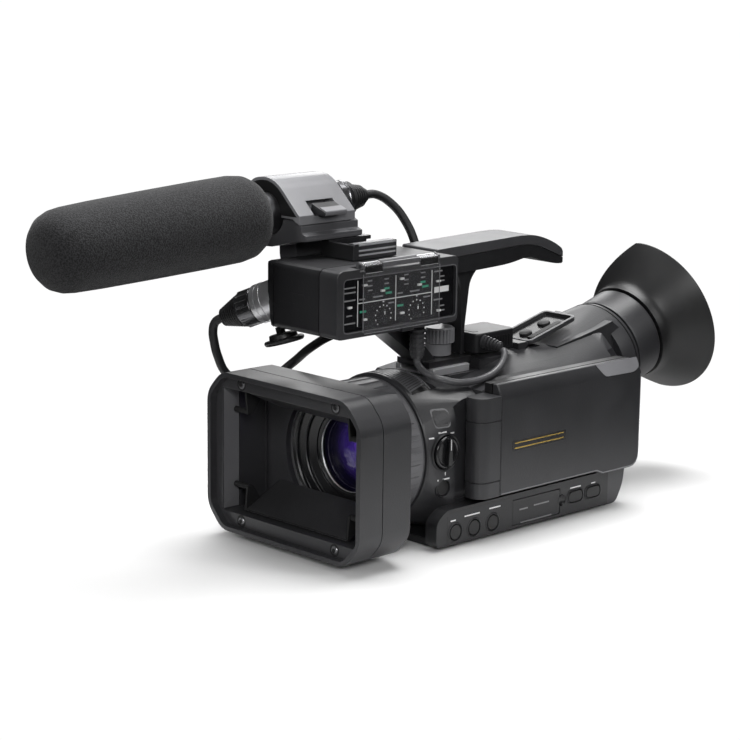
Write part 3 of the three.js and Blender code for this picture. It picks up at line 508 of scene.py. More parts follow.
def prism(shape, corners, axis, low, high, place=Matrix()):
    """Carries an outline along an axis, which is a letter or a rule that places (a, b, level)."""
    outline = rounded(corners)
    lay = PLANES.get(axis, axis)
    ends = []
    for level in (low, high):
        ends.append([shape.verts.new(place @ Vector(lay(p[0], p[1], level))) for p in outline])
    count = len(outline)
    for i in range(count):
        j = (i + 1) % count
        shape.faces.new((ends[0][i], ends[0][j], ends[1][j], ends[1][i]))
    shape.faces.new(ends[0])
    shape.faces.new(ends[1])


def box(shape, x, y, z, place=Matrix()):
    prism(shape, [(x[0], y[0]), (x[1], y[0]), (x[1], y[1]), (x[0], y[1])], "z", z[0], z[1], place)


def plate(a0, a1, b0, b1, radius=0.0):
    return [(a0, b0, radius), (a1, b0, radius), (a1, b1, radius), (a0, b1, radius)]


# ---- cables -----------------------------------------------------------------------------------
MIC_ROUTE = [(-34, 84.2, 116.25), (-33.2, 91, 115.8), (-29.6, 98.4, 110.8), (-25, 103.2, 102.5),
             (-20.6, 105.6, 92), (-17, 106, 78), (-16.5, 96, 63), (-18.5, 75, 55.4), (-23, 54, 52.4),
             (-32, 47.5, 45.5), (-43, 45.5, 36.5), (-51.5, 38.5, 28), (-57, 27, 25.5),
             (-58.6, 16.5, 33), (-58.8, 11.5, 42), (-59.1, 9.6, 49), (-59, 8.8, 54.6),
             (-57.6, 8.8, 58.6), (-55.4, 9.42, 60.57), (-53.62, 10.06, 61.37)]
MODULE_ROUTE = [(12, 75.6, 43.1), (12.2, 75.6, 41.4), (14.6, 75.4, 39.2), (19, 75.6, 37),
                (25, 78.4, 35), (28.4, 85.4, 33), (29.6, 94, 32.2), (30, 103, 32.8), (29.8, 111, 34.8),
                (29, 117, 38.2), (27.4, 120.4, 41.6), (25.4, 121.4, 43.6)]


def add_cable(name, route, diameter, look, node):
    curve = bpy.data.curves.new(name, "CURVE")
    curve.dimensions = "3D"
    curve.bevel_depth = diameter / 2 * MM
    curve.bevel_resolution = 5
    curve.resolution_u = 10
    line = curve.splines.new("BEZIER")
    line.bezier_points.add(len(route) - 1)
    for point, place in zip(line.bezier_points, route):
        point.co = spot(*place)
        point.handle_left_type = point.handle_right_type = "AUTO"
    curve.materials.append(LOOKS[look])
    cable = bpy.data.objects.new(name, curve)
    bpy.context.scene.collection.objects.link(cable)
    bpy.context.view_layer.update()
    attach(cable, "camera")
    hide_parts(node)


# ---- lens and hood ----------------------------------------------------------------------------
FLAP_LIP = (8.3, 28.9)            # y and height of a flap's front edge
RING = {"pads": 36, "face": 34.4}  # the focus ring's raised pads and their outer radius
SCREWS = {"x": 32.5, "z": 33.2}   # how far the hood's screws are from the lens axis


def add_hood_details():
    screws = bmesh.new()
    socket_shade = bmesh.new()
    for x in (-SCREWS["x"], SCREWS["x"]):
        for z in (-SCREWS["z"], SCREWS["z"]):
            head = move(x, 4, z)
            lathe(screws, [(0, -0.5), (1.1, -0.5), (1.8, -0.35), (2.2, 0.2), (2.2, 0.6), (0, 0.6)], head, 24)
            # Dark hexagons on the heads and dark rings round them: painted shade of the sockets and of the
            # gaps round the heads.
            lathe(socket_shade, [(0, -0.64), (1.1, -0.64), (1.1, -0.3), (0, -0.3)], head, 6)
            closed_lathe(socket_shade, [(2.25, -0.08), (3, -0.08), (3, 0.2), (2.25, 0.2)], head, 24)
    piece("hood_screws", screws, "collar_steel_and_highlight")
    piece("hood_screw_socket_shade", socket_shade, "flap_black")
    trims = bmesh.new()
    for x in (-45.9, 45.3):
        box(trims, (x, x + 0.6), (30.4, 31.4), (-29.9, 29.9))
    for z in (-29.9, 29.3):
        box(trims, (-45.2, 45.2), (30.6, 31.4), (z, z + 0.6))
    piece("hood_duct_trims", trims, "casing", bevel=0.1)
    for side in (-1, 1):
        y, height = FLAP_LIP
        edge = [(y, side * height), (y + 1.1, side * (height - 0.4)),
                (y + 1.5, side * (height + 0.25)), (y + 0.5, side * (height + 0.65))]
        rail = bmesh.new()
        prism(rail, edge, "x", -35.8, 35.8)
        name = "upper" if side > 0 else "lower"
        piece(f"flap_{name}_lip", rail, "flap_skin", f"flap_{name}", bevel=0.12)
        skin = bmesh.new()
        prism(skin, [(9.2, side * 28.5), (31.2, side * 18.23), (31.2, side * 18.13), (9.2, side * 28.4)],
              "x", -35.4, 35.4)
        piece(f"flap_{name}_skin", skin, "flap_skin", f"flap_{name}")
    # Light grey sheets on the hood's inner side walls: painted light falling on the walls.
    lit_wall_paint = bmesh.new()
    for x in (-46.02, 45.9):
        box(lit_wall_paint, (x, x + 0.12), (4.6, 13.9), (-29.6, 29.6))
    piece("hood_side_painted_light", lit_wall_paint, "painted_light_grey")


def add_lens_details():
    ring = bmesh.new()
    closed_lathe(ring, [(19.1, 43.4), (19.5, 42.9), (20.2, 42.7), (20.4, 43.2), (19.1, 44.4)], sides=96)
    piece("lens_retaining_ring", ring, "black_plastic")
    glint = bmesh.new()
    closed_lathe(glint, [(18.95, 43.5), (19.25, 43.2), (19.35, 43.6), (19.05, 44)], sides=96)
    piece("lens_edge_ring", glint, "satin_metal")
    cell = bmesh.new()
    closed_lathe(cell, [(12.9, 49.4), (13.2, 49.1), (13.4, 49.4), (13.4, 54), (12.9, 54)], sides=96)
    piece("inner_lens_ring", cell, "dark_metal")
    steps = bmesh.new()
    for radius, y in ((17.6, 47.8), (15.4, 48.3)):
        closed_lathe(steps, [(radius - 0.3, y - 0.3), (radius, y - 0.6), (radius + 0.3, y - 0.3),
                             (radius + 0.3, y + 0.3), (radius - 0.3, y + 0.3)], sides=96)
    piece("lens_baffle_steps", steps, "gloss_black")
    # The inner lens shows a painted reflection and a painted glow.
    inner = bmesh.new()
    lathe(inner, [(0, 49.4), (4, 49.7), (8, 50.5), (12.85, 52.4), (12.85, 53.8), (0, 54)], sides=96)
    piece("inner_lens", inner, "inner_coating_painted_glow")
    front = bmesh.new()
    lathe(front, [(0, 41.3), (5, 41.5), (10, 42.2), (15, 43.6), (18.9, 45.4), (18.9, 46.4),
                  (12, 44.4), (0, 42.8)], sides=96)
    piece("front_lens_glass", front, "lens_glass", stands_for="front_lens")
    # A near-black sleeve at the bottom of the focus ring's grooves: painted shade in the grooves.
    groove_shade = bmesh.new()
    closed_lathe(groove_shade, [(33.45, 37.5), (33.6, 37.5), (33.6, 57), (33.45, 57)], sides=96)
    piece("focus_ring_groove_shade", groove_shade, "flap_black", "focus_ring")
    # Glossy grey strips at two edges of every pad: painted highlights on the pads' edges.
    edges = bmesh.new()
    for i in range(RING["pads"]):
        for share in (0.1, 0.64):
            start, end = ((i + share + wide) * 2 * math.pi / RING["pads"] for wide in (0, 0.07))
            arc_bar(edges, RING["face"] - 0.4, RING["face"] + 0.07, 37.6, 56.8, start, end, 1)
    piece("focus_ring_pad_highlights", edges, "trim_and_highlight_grey", "focus_ring")
    # A thin grey ring behind the focus ring: a painted highlight along the ring's rear edge.
    line = bmesh.new()
    closed_lathe(line, [(33.2, 59.38), (34.3, 59.38), (34.3, 59.62), (33.2, 59.62)], sides=96)
    piece("focus_ring_rear_highlight", line, "trim_and_highlight_grey")
    rims = bmesh.new()
    for radius, y in ((25.9, 39), (30, 36.5)):
        closed_lathe(rims, [(radius - 0.35, y), (radius, y - 0.45), (radius + 0.35, y),
                            (radius + 0.35, y + 0.6), (radius - 0.35, y + 0.6)], sides=96)
    piece("lens_front_rings", rims, "casing_dark")


# ---- front of the body ------------------------------------------------------------------------
def side_x(y, z):
    """How far out the front housing's monitor side is at a height and a distance from the rim."""
    hit, place = NODES["front_housing"].ray_cast(spot(60, y, z), (-1, 0, 0))[:2]
    return (place.x - LENS.x) / MM if hit else 36.5


def on_front_side(a, b, c):
    return (side_x(a, b) + c, a, b)


def facing_side(x, y, z):
    """Places a lathe so that its axis points out of the monitor side."""
    return move(x, y, z) @ Matrix.Rotation(-math.pi / 2, 4, "Z")


def add_front_details():
    marks = bmesh.new()
    for y, z in ((66.4, 8.4), (70.1, 9.9), (74, 9.1)):
        prism(marks, plate(y - 0.4, y + 0.4, z - 0.4, z + 0.4, 0.35), on_front_side, -0.4, 0.06)
    prism(marks, plate(71.4, 71.8, -8.8, -7.2), on_front_side, -0.4, 0.06)
    for y0, y1, z in ((61.8, 64.6, 10.2), (67.4, 72, 12.2), (74.4, 77, 11.2), (66.6, 74.4, -10.6)):
        prism(marks, plate(y0, y1, z - 0.35, z + 0.35), on_front_side, -0.4, 0.05)
    piece("dial_scale_marks", marks, "white_print")
    badge = bmesh.new()
    prism(badge, plate(66, 74.8, 14.2, 22.8, 2), on_front_side, -0.6, 0.16)
    piece("side_badge", badge, "trim_and_highlight_grey", bevel=0.1)
    face = bmesh.new()
    prism(face, plate(66.7, 74.1, 14.9, 22.1, 1.5), on_front_side, -0.4, 0.22)
    piece("side_badge_face", face, "casing_dark")
    dial = bmesh.new()
    at = facing_side(36.5, 71.5, 2.5)
    lathe(dial, [(0, -1.1), (7.8, -1.1), (7.8, 1.0), (7.3, 1.55), (6.5, 1.6), (6.2, 1.2), (0, 1.2)], at, 72)
    prism(dial, [(70, -3.6, 1), (70.6, 9.6, 0.8), (72.4, 9.6, 0.8), (73, -3.6, 1)], "x", 37.4, 40)
    piece("dial_knob", dial, "gloss_black", "dial", "selector_dial", 0.3)
    pointer = bmesh.new()
    box(pointer, (39.9, 40.08), (71.3, 71.75), (4, 9.2))
    piece("dial_pointer", pointer, "white_print", "dial")
    rings = bmesh.new()
    closed_lathe(rings, [(8.25, -1.6), (8.3, 0.2), (8.7, 0.4), (9.2, 0.05), (9.2, -1.6)], at, 72)
    closed_lathe(rings, [(4.15, -1.8), (4.2, 0.1), (4.5, 0.25), (4.9, 0), (4.9, -1.8)],
                 facing_side(35.7, 71, -15), 48)
    piece("front_button_rings", rings, "casing_dark")
    ribs = bmesh.new()
    grille_ribs(ribs)
    piece("grille_ribs", ribs, "trim_and_highlight_grey", bevel=0.08)
    dress("mic_grille", 0.1, look="black_plastic")
    frame_bar = bmesh.new()
    for y in (63.1, 76.2):
        arc_bar(frame_bar, 35.2, 36.1, y, y + 0.7, 0.95, math.pi - 0.95)
    piece("grille_frame", frame_bar, "trim_and_highlight_grey", bevel=0.1)


def arc_bar(shape, inner, outer, y0, y1, start, end, steps=24):
    """A flat bar bent round the lens axis."""
    rings = []
    for i in range(steps + 1):
        angle = start + (end - start) * i / steps
        rings.append([shape.verts.new((r * math.cos(angle), y, r * math.sin(angle)))
                      for r, y in ((inner, y0), (outer, y0), (outer, y1), (inner, y1))])
    for first, second in zip(rings, rings[1:]):
        for k in range(4):
            shape.faces.new((first[k], first[(k + 1) % 4], second[(k + 1) % 4], second[k]))
    shape.faces.new(rings[0])
    shape.faces.new(rings[-1])


def grille_ribs(shape):
    """Slanting ribs over the built-in microphones."""
    count = 26
    for i in range(count):
        start = 0.98 + (math.pi - 2.02) * i / count
        corners = []
        for k in range(5):
            share = k / 4
            angle = start + 0.1 * share
            y = 63.7 + 12.4 * share
            row = []
            for radius, turn in ((34.8, 0), (35.75, 0), (35.75, 0.03), (34.8, 0.03)):
                row.append(shape.verts.new((radius * math.cos(angle + turn), y,
                                            radius * math.sin(angle + turn))))
            corners.append(row)
        for first, second in zip(corners, corners[1:]):
            for k in range(4):
                shape.faces.new((first[k], first[(k + 1) % 4], second[(k + 1) % 4], second[k]))
        shape.faces.new(corners[0])
        shape.faces.new(corners[-1])


# ---- lower panel ------------------------------------------------------------------------------
def oval_ring(shape, y, z, length, height, wide, x0, x1):
    """A raised ring round a long button: an outer and an inner outline joined."""
    outlines = [rounded(plate(y - length - grow, y + length + grow, z - height - grow, z + height + grow,
                              height + grow), 8) for grow in (0, wide)]
    rows = [[shape.verts.new((x, p[0], p[1])) for p in outlines[k]]
            for k, x in ((0, x0), (0, x1), (1, x1 - 0.15), (1, x0))]
    count = len(rows[0])
    for first, second in zip(rows, rows[1:] + rows[:1]):
        for i in range(count):
            j = (i + 1) % count
            shape.faces.new((first[i], first[j], second[j], second[i]))


def add_panel_details():
    rings = bmesh.new()
    for y in (70, 82.7, 95.6):
        closed_lathe(rings, [(4.12, -1), (4.15, 0.3), (4.5, 0.42), (4.95, 0.05), (4.95, -1)],
                     facing_side(45, y, -34.4), 48)
    for y in (155.5, 168.8):
        oval_ring(rings, y, -32, 5.55, 3.15, 0.7, 44.6, 45.35)
    piece("button_rings", rings, "casing_dark")
    marks = bmesh.new()
    for y0, y1, z in ((66.8, 70.2, -28.6), (76.2, 86.6, -27.9), (93.2, 101, -27.2), (151.6, 159.4, -27.4)):
        box(marks, (45, 45.06), (y0, y1), (z - 0.32, z + 0.32))
    box(marks, (45, 45.06), (167.4, 170.4), (-27.8, -27.2))
    piece("button_marks", marks, "white_print")
    faint = bmesh.new()
    for y0, y1, z in ((114.6, 120.6, -31.6), (125, 136, -31.2)):
        box(faint, (45, 45.05), (y0, y1), (z - 0.35, z + 0.35))
    box(faint, (45, 45.3), (115.5, 137.8), (-38.5, -37.9))
    piece("port_cover_marks", faint, "grey_print", "port_cover")
    seams = bmesh.new()
    box(seams, (44.9, 45.05), (109.5, 109.9), (-40.2, -23.2))
    box(seams, (44.9, 45.05), (64.6, 64.9), (-40, -26))
    box(seams, (44.9, 45.05), (66, 108.6), (-24.6, -24.3))
    piece("panel_seams", seams, "black_plastic")
    notch = bmesh.new()
    lathe(notch, [(0, -2.1), (2.7, -2.1), (2.9, -0.2), (2.7, 0.1), (2.5, -0.1), (0, -1.2)],
          facing_side(45, 145.4, -32.4), 32)
    piece("finger_notch", notch, "gloss_black")


# ---- monitor ----------------------------------------------------------------------------------
SIDE_PLANE = Matrix(((0, 0, 1, 0), (1, 0, 0, 0), (0, 1, 0, 0), (0, 0, 0, 1)))
SLOPE = Matrix(((0, -0.442, 0.897, 50), (1, 0, 0, 0), (0, 0.897, 0.442, 26.2), (0, 0, 0, 1)))


def add_monitor_details():
    hinge = bmesh.new()
    plan = [(38.6, 81.6, 2), (45.5, 80.6, 3), (50, 84.6, 3.5), (50, 94.9, 0.4), (38.6, 94.9, 1)]
    for low, high in ((-20.4, -12.8), (-12.4, 16.6), (17, 28.4)):
        prism(hinge, plan, "z", low, high)
    core = [(39.2, 82.2, 2), (45.5, 81.3, 3), (49.4, 85, 3.5), (49.4, 94.4), (39.2, 94.4, 1)]
    prism(hinge, core, "z", -20, 28)
    piece("monitor_hinge", hinge, "casing", "monitor", "lcd_hinge_block", 0.35)
    tab = bmesh.new()
    prism(tab, [(165.8, 7.9), (167.5, 5.2, 1), (170.6, 1.0, 2), (192.6, 0.6, 3), (197.2, 3, 2), (197.2, 7.9)],
          "z", -0.3, 0.14, SLOPE)
    piece("monitor_tab", tab, "holder_and_highlight_grey", "monitor", bevel=0.08)
    tab_edge = bmesh.new()
    for a, b in (((165.5, 7.9), (167.3, 5.0)), ((167.3, 5.0), (170.5, 0.75)), ((170.5, 0.75), (192.7, 0.35))):
        ridge(tab_edge, a, b, 0.35, SLOPE)
    piece("monitor_tab_edge", tab_edge, "black_plastic", "monitor")
    plate_shape = bmesh.new()
    prism(plate_shape, plate(103, 141.1, 0.2, 5.2, 0.4), "x", 49.8, 50.07)
    piece("monitor_plate", plate_shape, "gloss_black", "monitor")
    gold = bmesh.new()
    for z in (1.2, 3.7):
        prism(gold, plate(104.6, 139.6, z, z + 0.55, 0.2), "x", 49.9, 50.12)
    piece("monitor_plate_line", gold, "gold_print", "monitor")
    # A raised line along the face's lower and rear edges: a real moulded ridge, with its light grey a painted
    # highlight on the rim.
    rim = bmesh.new()
    outline = [(96, -19.6), (165.4, -19.6), (170.2, -21.5), (197, -21.5, 6.4), (197, 25.4)]
    for first, second in zip(rounded(outline)[:-1], rounded(outline)[1:]):
        ridge(rim, first, second, 0.45, SIDE_PLANE @ move(0, 0, 50.02))
    piece("monitor_rim_highlight", rim, "holder_and_highlight_grey", "monitor")


def ridge(shape, start, end, wide, place):
    """A thin raised line between two points of a plane."""
    start, end = Vector(start), Vector(end)
    side = Vector((end - start).yx) * Vector((-1, 1))
    side.normalize()
    side *= wide / 2
    prism(shape, [start + side, end + side, end - side, start - side], "z", -0.15, 0.06, place)


# ---- audio module -----------------------------------------------------------------------------
PANEL_FACE = 25                   # x of the control panel's face
KNOBS = {"y": (40.3, 61.8), "z": 70}   # middles of the two level knobs


def add_module_details():
    white = bmesh.new()
    face = (PANEL_FACE - 0.1, PANEL_FACE + 0.06)
    for y in (24, 48.1, 71.7):
        box(white, face, (y - 0.22, y + 0.22), (66.9, 88))
    box(white, face, (24, 71.7), (77.3, 77.7))
    for y, z in ((28.2, 85.6), (39.4, 81.9), (51.7, 86.1), (63.2, 82.1), (75.7, 82.4), (76.1, 68.4),
                 (18.8, 76.3), (28.3, 69.7), (52.1, 70)):
        box(white, (24.9, 25.9), (y - 1.1, y + 1.1), (z - 0.45, z + 0.45))
    box(white, face, (73.4, 83), (76.9, 79.6))
    for y, z in ((40.3, 77.1), (61.8, 77.3)):
        box(white, face, (y - 0.45, y + 0.45), (z - 0.7, z - 0.1))
    for y in KNOBS["y"]:
        for i in range(-4, 6):
            angle = math.radians(90 + i * 27)
            a, b = y + 5 * math.cos(angle), KNOBS["z"] + 5 * math.sin(angle)
            prism(white, plate(a - 0.32, a + 0.32, b - 0.32, b + 0.32, 0.3), "x", *face)
    piece("panel_white_marks", white, "white_print")
    grey = bmesh.new()
    for y, z in ((31.4, 87.2), (31.6, 84.9), (31.6, 82.8), (42, 87), (42, 84.9), (54.6, 87.6), (54.8, 85.2),
                 (54.8, 83.2), (65.6, 87.4), (65.6, 85.2), (78.4, 84.4), (78.4, 82.3), (78.6, 70.4),
                 (78.8, 68.2)):
        box(grey, face, (y - 1.3, y + 1.6), (z - 0.32, z + 0.32))
    for y0, y1, z in ((15.6, 22.6, 85.2), (15.6, 22.6, 83), (15.6, 22.6, 79.4), (17, 20.6, 72.4),
                      (15.8, 22.6, 68.8), (25, 28.6, 79.2), (33.6, 40, 79.4), (49.2, 52.6, 79.4),
                      (57.4, 63.6, 79.4), (43.4, 47, 75.6), (66.2, 70.6, 75.8), (73, 78.6, 87),
                      (73, 78.8, 73.6)):
        box(grey, face, (y0, y1), (z - 0.34, z + 0.34))
    piece("panel_scale_marks", grey, "grey_print")
    green = bmesh.new()
    for y, z, half in ((42.4, 82.6, 1.6), (43.6, 80.4, 2), (65.8, 83, 1.6), (67.4, 80.8, 2), (27.4, 73.4, 2),
                       (51.2, 73.6, 1.9)):
        box(green, face, (y - half, y + half), (z - 0.5, z + 0.5))
    piece("panel_green_marks", green, "green_print")
    for i, y in enumerate(KNOBS["y"], 1):
        knob = bmesh.new()
        at = facing_side(23.4, y, KNOBS["z"])
        lathe(knob, [(0, 0), (3.3, 0), (3.3, 2), (3, 2.7), (2.4, 2.8), (2.2, 2.5), (0, 2.5)], at, 40)
        piece(f"level_knob_{i}_cap", knob, "gloss_black", f"level_{i}", f"level_knob_{i}")
        line = bmesh.new()
        box(line, (25.8, 26.12), (y - 0.25, y + 0.25), (70.8, 73))
        piece(f"level_knob_{i}_pointer", line, "white_print", f"level_{i}")
    add_door()
    rim = bmesh.new()
    recess = rounded(plate(14, 86.8, 64.7, 89.4, 2.4))
    for start, end in zip(recess, recess[1:] + recess[:1]):
        ridge(rim, start, end, 0.5, SIDE_PLANE @ move(0, 0, 26.4))
    piece("panel_recess_rim", rim, "trim_and_highlight_grey")
    seam = bmesh.new()
    box(seam, (-17.2, -16.8), (9.95, 10.2), (62.6, 92.2))
    box(seam, (-17.2, -16.8), (13, 88), (93.3, 93.56))
    piece("module_seam", seam, "black_plastic")
    badge = bmesh.new()
    prism(badge, plate(-13.4, 4.6, 75.4, 80.2, 1.2), "y", 9.88, 10.2)
    piece("front_badge", badge, "casing_dark", bevel=0.08)


def add_door():
    """The clear door over the controls hangs from a barrel along the module's top edge."""
    barrel = bmesh.new()
    for low, high in ((24.7, 25.7), (37.1, 61.1), (73, 74.1)):
        lathe(barrel, [(0, low), (1.9, low), (1.9, high), (0, high)], move(24.6, 0, 94.5), 32)
        box(barrel, (24.6, 27.9), (low, high), (93.4, 95.5))
    piece("door_barrel", barrel, "trim_and_highlight_grey", "panel_door", "control_door", 0.3)
    clips = bmesh.new()
    for low, high in ((25.8, 37), (61.2, 72.9)):
        lathe(clips, [(0, low), (1.7, low), (1.7, high), (0, high)], move(24.8, 0, 94.3), 32)
        prism(clips, [(25, 95.9, 0.5), (28, 94.9, 0.6), (28, 91.2, 0.4), (26.8, 91.2), (26.8, 93)], "y",
              low + 0.2, high - 0.2)
    piece("door_clips", clips, "clip_chrome", "panel_door", bevel=0.2)
    sheet = bmesh.new()
    prism(sheet, plate(24.9, 74, 63.6, 94.6, 1.5), "x", 27.1, 27.8)
    piece("door_sheet", sheet, "door_window", "panel_door")
    edge = bmesh.new()
    for start, end in (((24.9, 64.4), (24.9, 91)), ((74, 64.4), (74, 91)), ((25.8, 63.6), (73.2, 63.6))):
        ridge(edge, start, end, 0.3, SIDE_PLANE @ move(0, 0, 27.8))
    piece("door_sheet_edge", edge, "holder_and_highlight_grey", "panel_door")
    foot = bmesh.new()
    prism(foot, [(50, 61.6), (50.6, 64, 0.8), (57.4, 64, 0.8), (58, 61.6)], "x", 25.2, 27.6)
    piece("door_finger_tab", foot, "casing_dark", bevel=0.3)


BOOT = move(12, 75.6, 0)


def add_module_boot():
    boot = bmesh.new()
    upright = BOOT @ turn_x(90)
    lathe(boot, [(0, 43.4), (2.6, 43.4), (3.2, 46), (3.5, 61.5), (0, 61.5)], upright, 24)
    for i in range(7):
        level = 44.6 + i * 2.45
        radius = 3.1 + i * 0.17
        closed_lathe(boot, [(radius - 0.8, level), (radius + 0.4, level + 0.1), (radius + 0.4, level + 1.2),
                            (radius - 0.8, level + 1.3)], upright, 32)
    for angle in range(0, 360, 60):
        side = BOOT @ Matrix.Rotation(math.radians(angle + 15), 4, "Z")
        prism(boot, [(2.6, -0.5), (3.75, -0.5), (3.75, 0.5), (2.6, 0.5)], "z", 45, 61.3, side)
    piece("module_cable_relief", boot, "black_rim_and_highlight", stands_for="module_cable_boot", bevel=0.12)
    plug = bmesh.new()
    prism(plug, [(-8, 114.6, 3), (14, 114.6, 4), (14, 143, 4), (-8, 143, 3)], "z", 40.2, 50.2)
    piece("module_plug_shell", plug, "casing_dark", stands_for="module_cable_plug", bevel=0.9, segments=3)
    ribs = bmesh.new()
    for i in range(8):
        y = 124 + i * 1.9
        box(ribs, (13.7, 14.25), (y, y + 1), (42.4, 47.8))
    piece("module_plug_ribs", ribs, "black_plastic", bevel=0.15)
    relief = bmesh.new()
    lay = move(13.5, 120, 46) @ Matrix.Rotation(0.2, 4, "Z") @ Matrix.Rotation(0.12, 4, "Y")
    lay = lay @ Matrix.Rotation(-math.pi / 2, 4, "Z")
    lathe(relief, [(0, 0), (3.4, 0), (3.4, 1), (2, 1.6), (1.8, 10.4), (0, 10.4)], lay, 32)
    for i in range(5):
        start = 1.9 + i * 1.75
        radius = 3.3 - i * 0.24
        closed_lathe(relief, [(1.5, start), (radius, start + 0.1), (radius, start + 1), (1.5, start + 1.1)],
                     lay, 32)
    piece("module_plug_relief", relief, "black_rim_and_highlight")
    pad = bmesh.new()
    prism(pad, plate(-3, 9, 117.4, 121.4, 1), "z", 50.15, 50.38)
    piece("module_plug_latch", pad, "black_plastic", bevel=0.1)


WHEEL_Y = 102.2


def add_shoe_and_wheel():
    wheel_shape = bmesh.new()
    upright = move(0, WHEEL_Y, 0) @ turn_x(90)
    knurl = []
    ribs = 26
    for i in range(ribs):
        for share, radius in ((0.0, 7.35), (0.22, 7.95), (0.62, 7.95), (0.84, 7.35)):
            angle = 2 * math.pi * (i + share) / ribs
            knurl.append((radius * math.cos(angle), WHEEL_Y + radius * math.sin(angle)))
    prism(wheel_shape, knurl, "z", 46.4, 53.2)
    lathe(wheel_shape, [(0, 53.1), (7.4, 53.1), (7, 53.9), (0, 53.9)], upright, 52)
    lathe(wheel_shape, [(0, 40.1), (6.4, 40.1), (6.4, 45.6), (7.2, 46.5), (0, 46.5)], upright, 52)
    piece("clamp_wheel_grip", wheel_shape, "holder_and_highlight_grey", "clamp_wheel", "thumb_wheel", 0.12)
    slide = bmesh.new()
    for x in (-12.6, 9.8):
        box(slide, (x, x + 2.8), (86.3, 110.7), (36.15, 36.55))
    piece("camera_shoe_lips", slide, "satin_metal", bevel=0.12)
    bars = bmesh.new()
    for x in (-12.2, 5.2):
        box(bars, (x, x + 3), (38.6, 63.6), (101.3, 101.39))
        box(bars, (x + 0.9, x + 1.3), (38.8, 63.4), (101.3, 101.4))
    for z in (95.6, 97.7, 100.3):
        box(bars, (8.9, 9.25), (39.6, 63.2), (z, z + 0.8))
    piece("accessory_shoe_rails", bars, "satin_metal", bevel=0.08)


# ---- plug and cap -----------------------------------------------------------------------------
def along_axis(at, axis):
    return move(*at) @ Vector((0, 1, 0)).rotation_difference(Vector(axis)).to_matrix().to_4x4()


def add_input_plug():
    at = along_axis((-31.6, 18, 71.2), (-0.867, -0.3125, -0.387))
    ring = bmesh.new()
    lathe(ring, [(0, -11.4), (9.3, -11.4), (9.3, -2.4), (9.5, -2.2), (9.5, 0.2), (9.2, 0.35), (9.2, 0.7),
                 (9.5, 0.85), (9.5, 3), (9.2, 3.4), (0, 3.4)], at, 72)
    piece("plug_shell", ring, "satin_metal", stands_for="xlr_plug")
    collar = bmesh.new()
    lathe(collar, [(0, 3.5), (8.7, 3.5), (8.7, 4.2), (8.95, 4.4), (8.6, 12), (8.2, 12.4), (0, 12.4)], at, 72)
    for i in range(16):
        turn = at @ Matrix.Rotation(2 * math.pi * i / 16, 4, "Y")
        prism(collar, [(8.2, -0.85), (9.0, -0.7), (9.0, 0.7), (8.2, 0.85)], "y", 5, 11.6, turn)
    piece("plug_collar", collar, "collar_steel_and_highlight", bevel=0.12)
    boot = bmesh.new()
    lathe(boot, [(0, 12.5), (8.1, 12.5), (8.1, 13.2), (7.2, 13.4), (3.6, 24.6), (3, 25), (0, 25)], at, 48)
    for i in range(8):
        start = 13.6 + i * 1.38
        radius = 7.9 - i * 0.47
        closed_lathe(boot, [(radius - 1.2, start), (radius, start + 0.1), (radius - 0.15, start + 0.85),
                            (radius - 1.3, start + 0.95)], at, 48)
    piece("plug_boot", boot, "rubber")
    cap_place = move(-23, 22, 54.6) @ Matrix.Rotation(0.1, 4, "X") @ Matrix.Rotation(-0.26, 4, "Y")
    cap = bmesh.new()
    upright = cap_place @ turn_x(90)
    lathe(cap, [(0, -2.2), (8.9, -2.2), (9.5, -1.6), (9.6, -0.4), (9.1, 0.1), (6.9, 0.3), (6.6, 2.3),
                (6.1, 2.6), (0, 2.6)], upright, 56)
    lathe(cap, [(0, 2.5), (2.2, 2.5), (2.2, 5.4), (0, 5.4)], move(-1, 0, 0) @ upright, 20)
    piece("socket_cap", cap, "rubber", stands_for="xlr_socket_cap", bevel=0.15)
    lip = bmesh.new()
    closed_lathe(lip, [(9.3, -1.7), (9.62, -1.2), (9.62, -0.7), (9.3, -0.3)], upright, 56)
    piece("socket_cap_lip", lip, "black_rim_and_highlight")
    tether = bmesh.new()
    prism(tether, [(-25.6, 58.8), (-22.4, 58.8), (-18.4, 62.6), (-18.4, 65.4), (-20.6, 65.6)], "y", 20, 24)
    piece("socket_cap_tether", tether, "rubber", bevel=0.5)


# ---- microphone -------------------------------------------------------------------------------
MIC = move(-34, 0, 111.7) @ turn_x(3)


def add_microphone():
    sleeve = bmesh.new()
    closed_lathe(sleeve, [(10.6, 12.4), (14, 12), (17.2, 9.8), (19.4, 5.6), (20.3, -1), (20.3, -20),
                          (20, -50), (19.5, -80), (19, -94), (18.4, -99), (16.8, -103.2),
                          (14, -106.2), (10, -107.9), (5, -108.5), (0.4, -108.5), (0.4, -99),
                          (10.6, -97.4)], MIC, 96)
    screen = piece("foam_windscreen", sleeve, "foam", stands_for="windscreen")
    connector = bmesh.new()
    lathe(connector, [(0, 59.9), (9.5, 59.9), (9.5, 62), (9.1, 62.3), (9.1, 62.8), (9.5, 63.1),
                      (9.5, 65.6), (9.1, 66), (9.1, 66.4), (9.4, 66.8), (9.4, 68.8), (9, 69.4), (0, 69.4)],
          MIC, 64)
    piece("mic_connector_ring", connector, "collar_steel_and_highlight", stands_for="mic_connector")
    boot = bmesh.new()
    profile = [(0, 69.5), (8.4, 69.5), (8.4, 72)]
    for i in range(5):
        start = 72.3 + i * 1.7
        radius = 6.9 - i * 0.35
        profile += [(radius - 0.8, start), (radius, start + 0.2), (radius, start + 1.1),
                    (radius - 0.8, start + 1.3)]
    profile += [(4.6, 81.5), (3.2, 84), (0, 84)]
    lathe(boot, profile, MIC, 48)
    piece("mic_connector_boot", boot, "rubber")


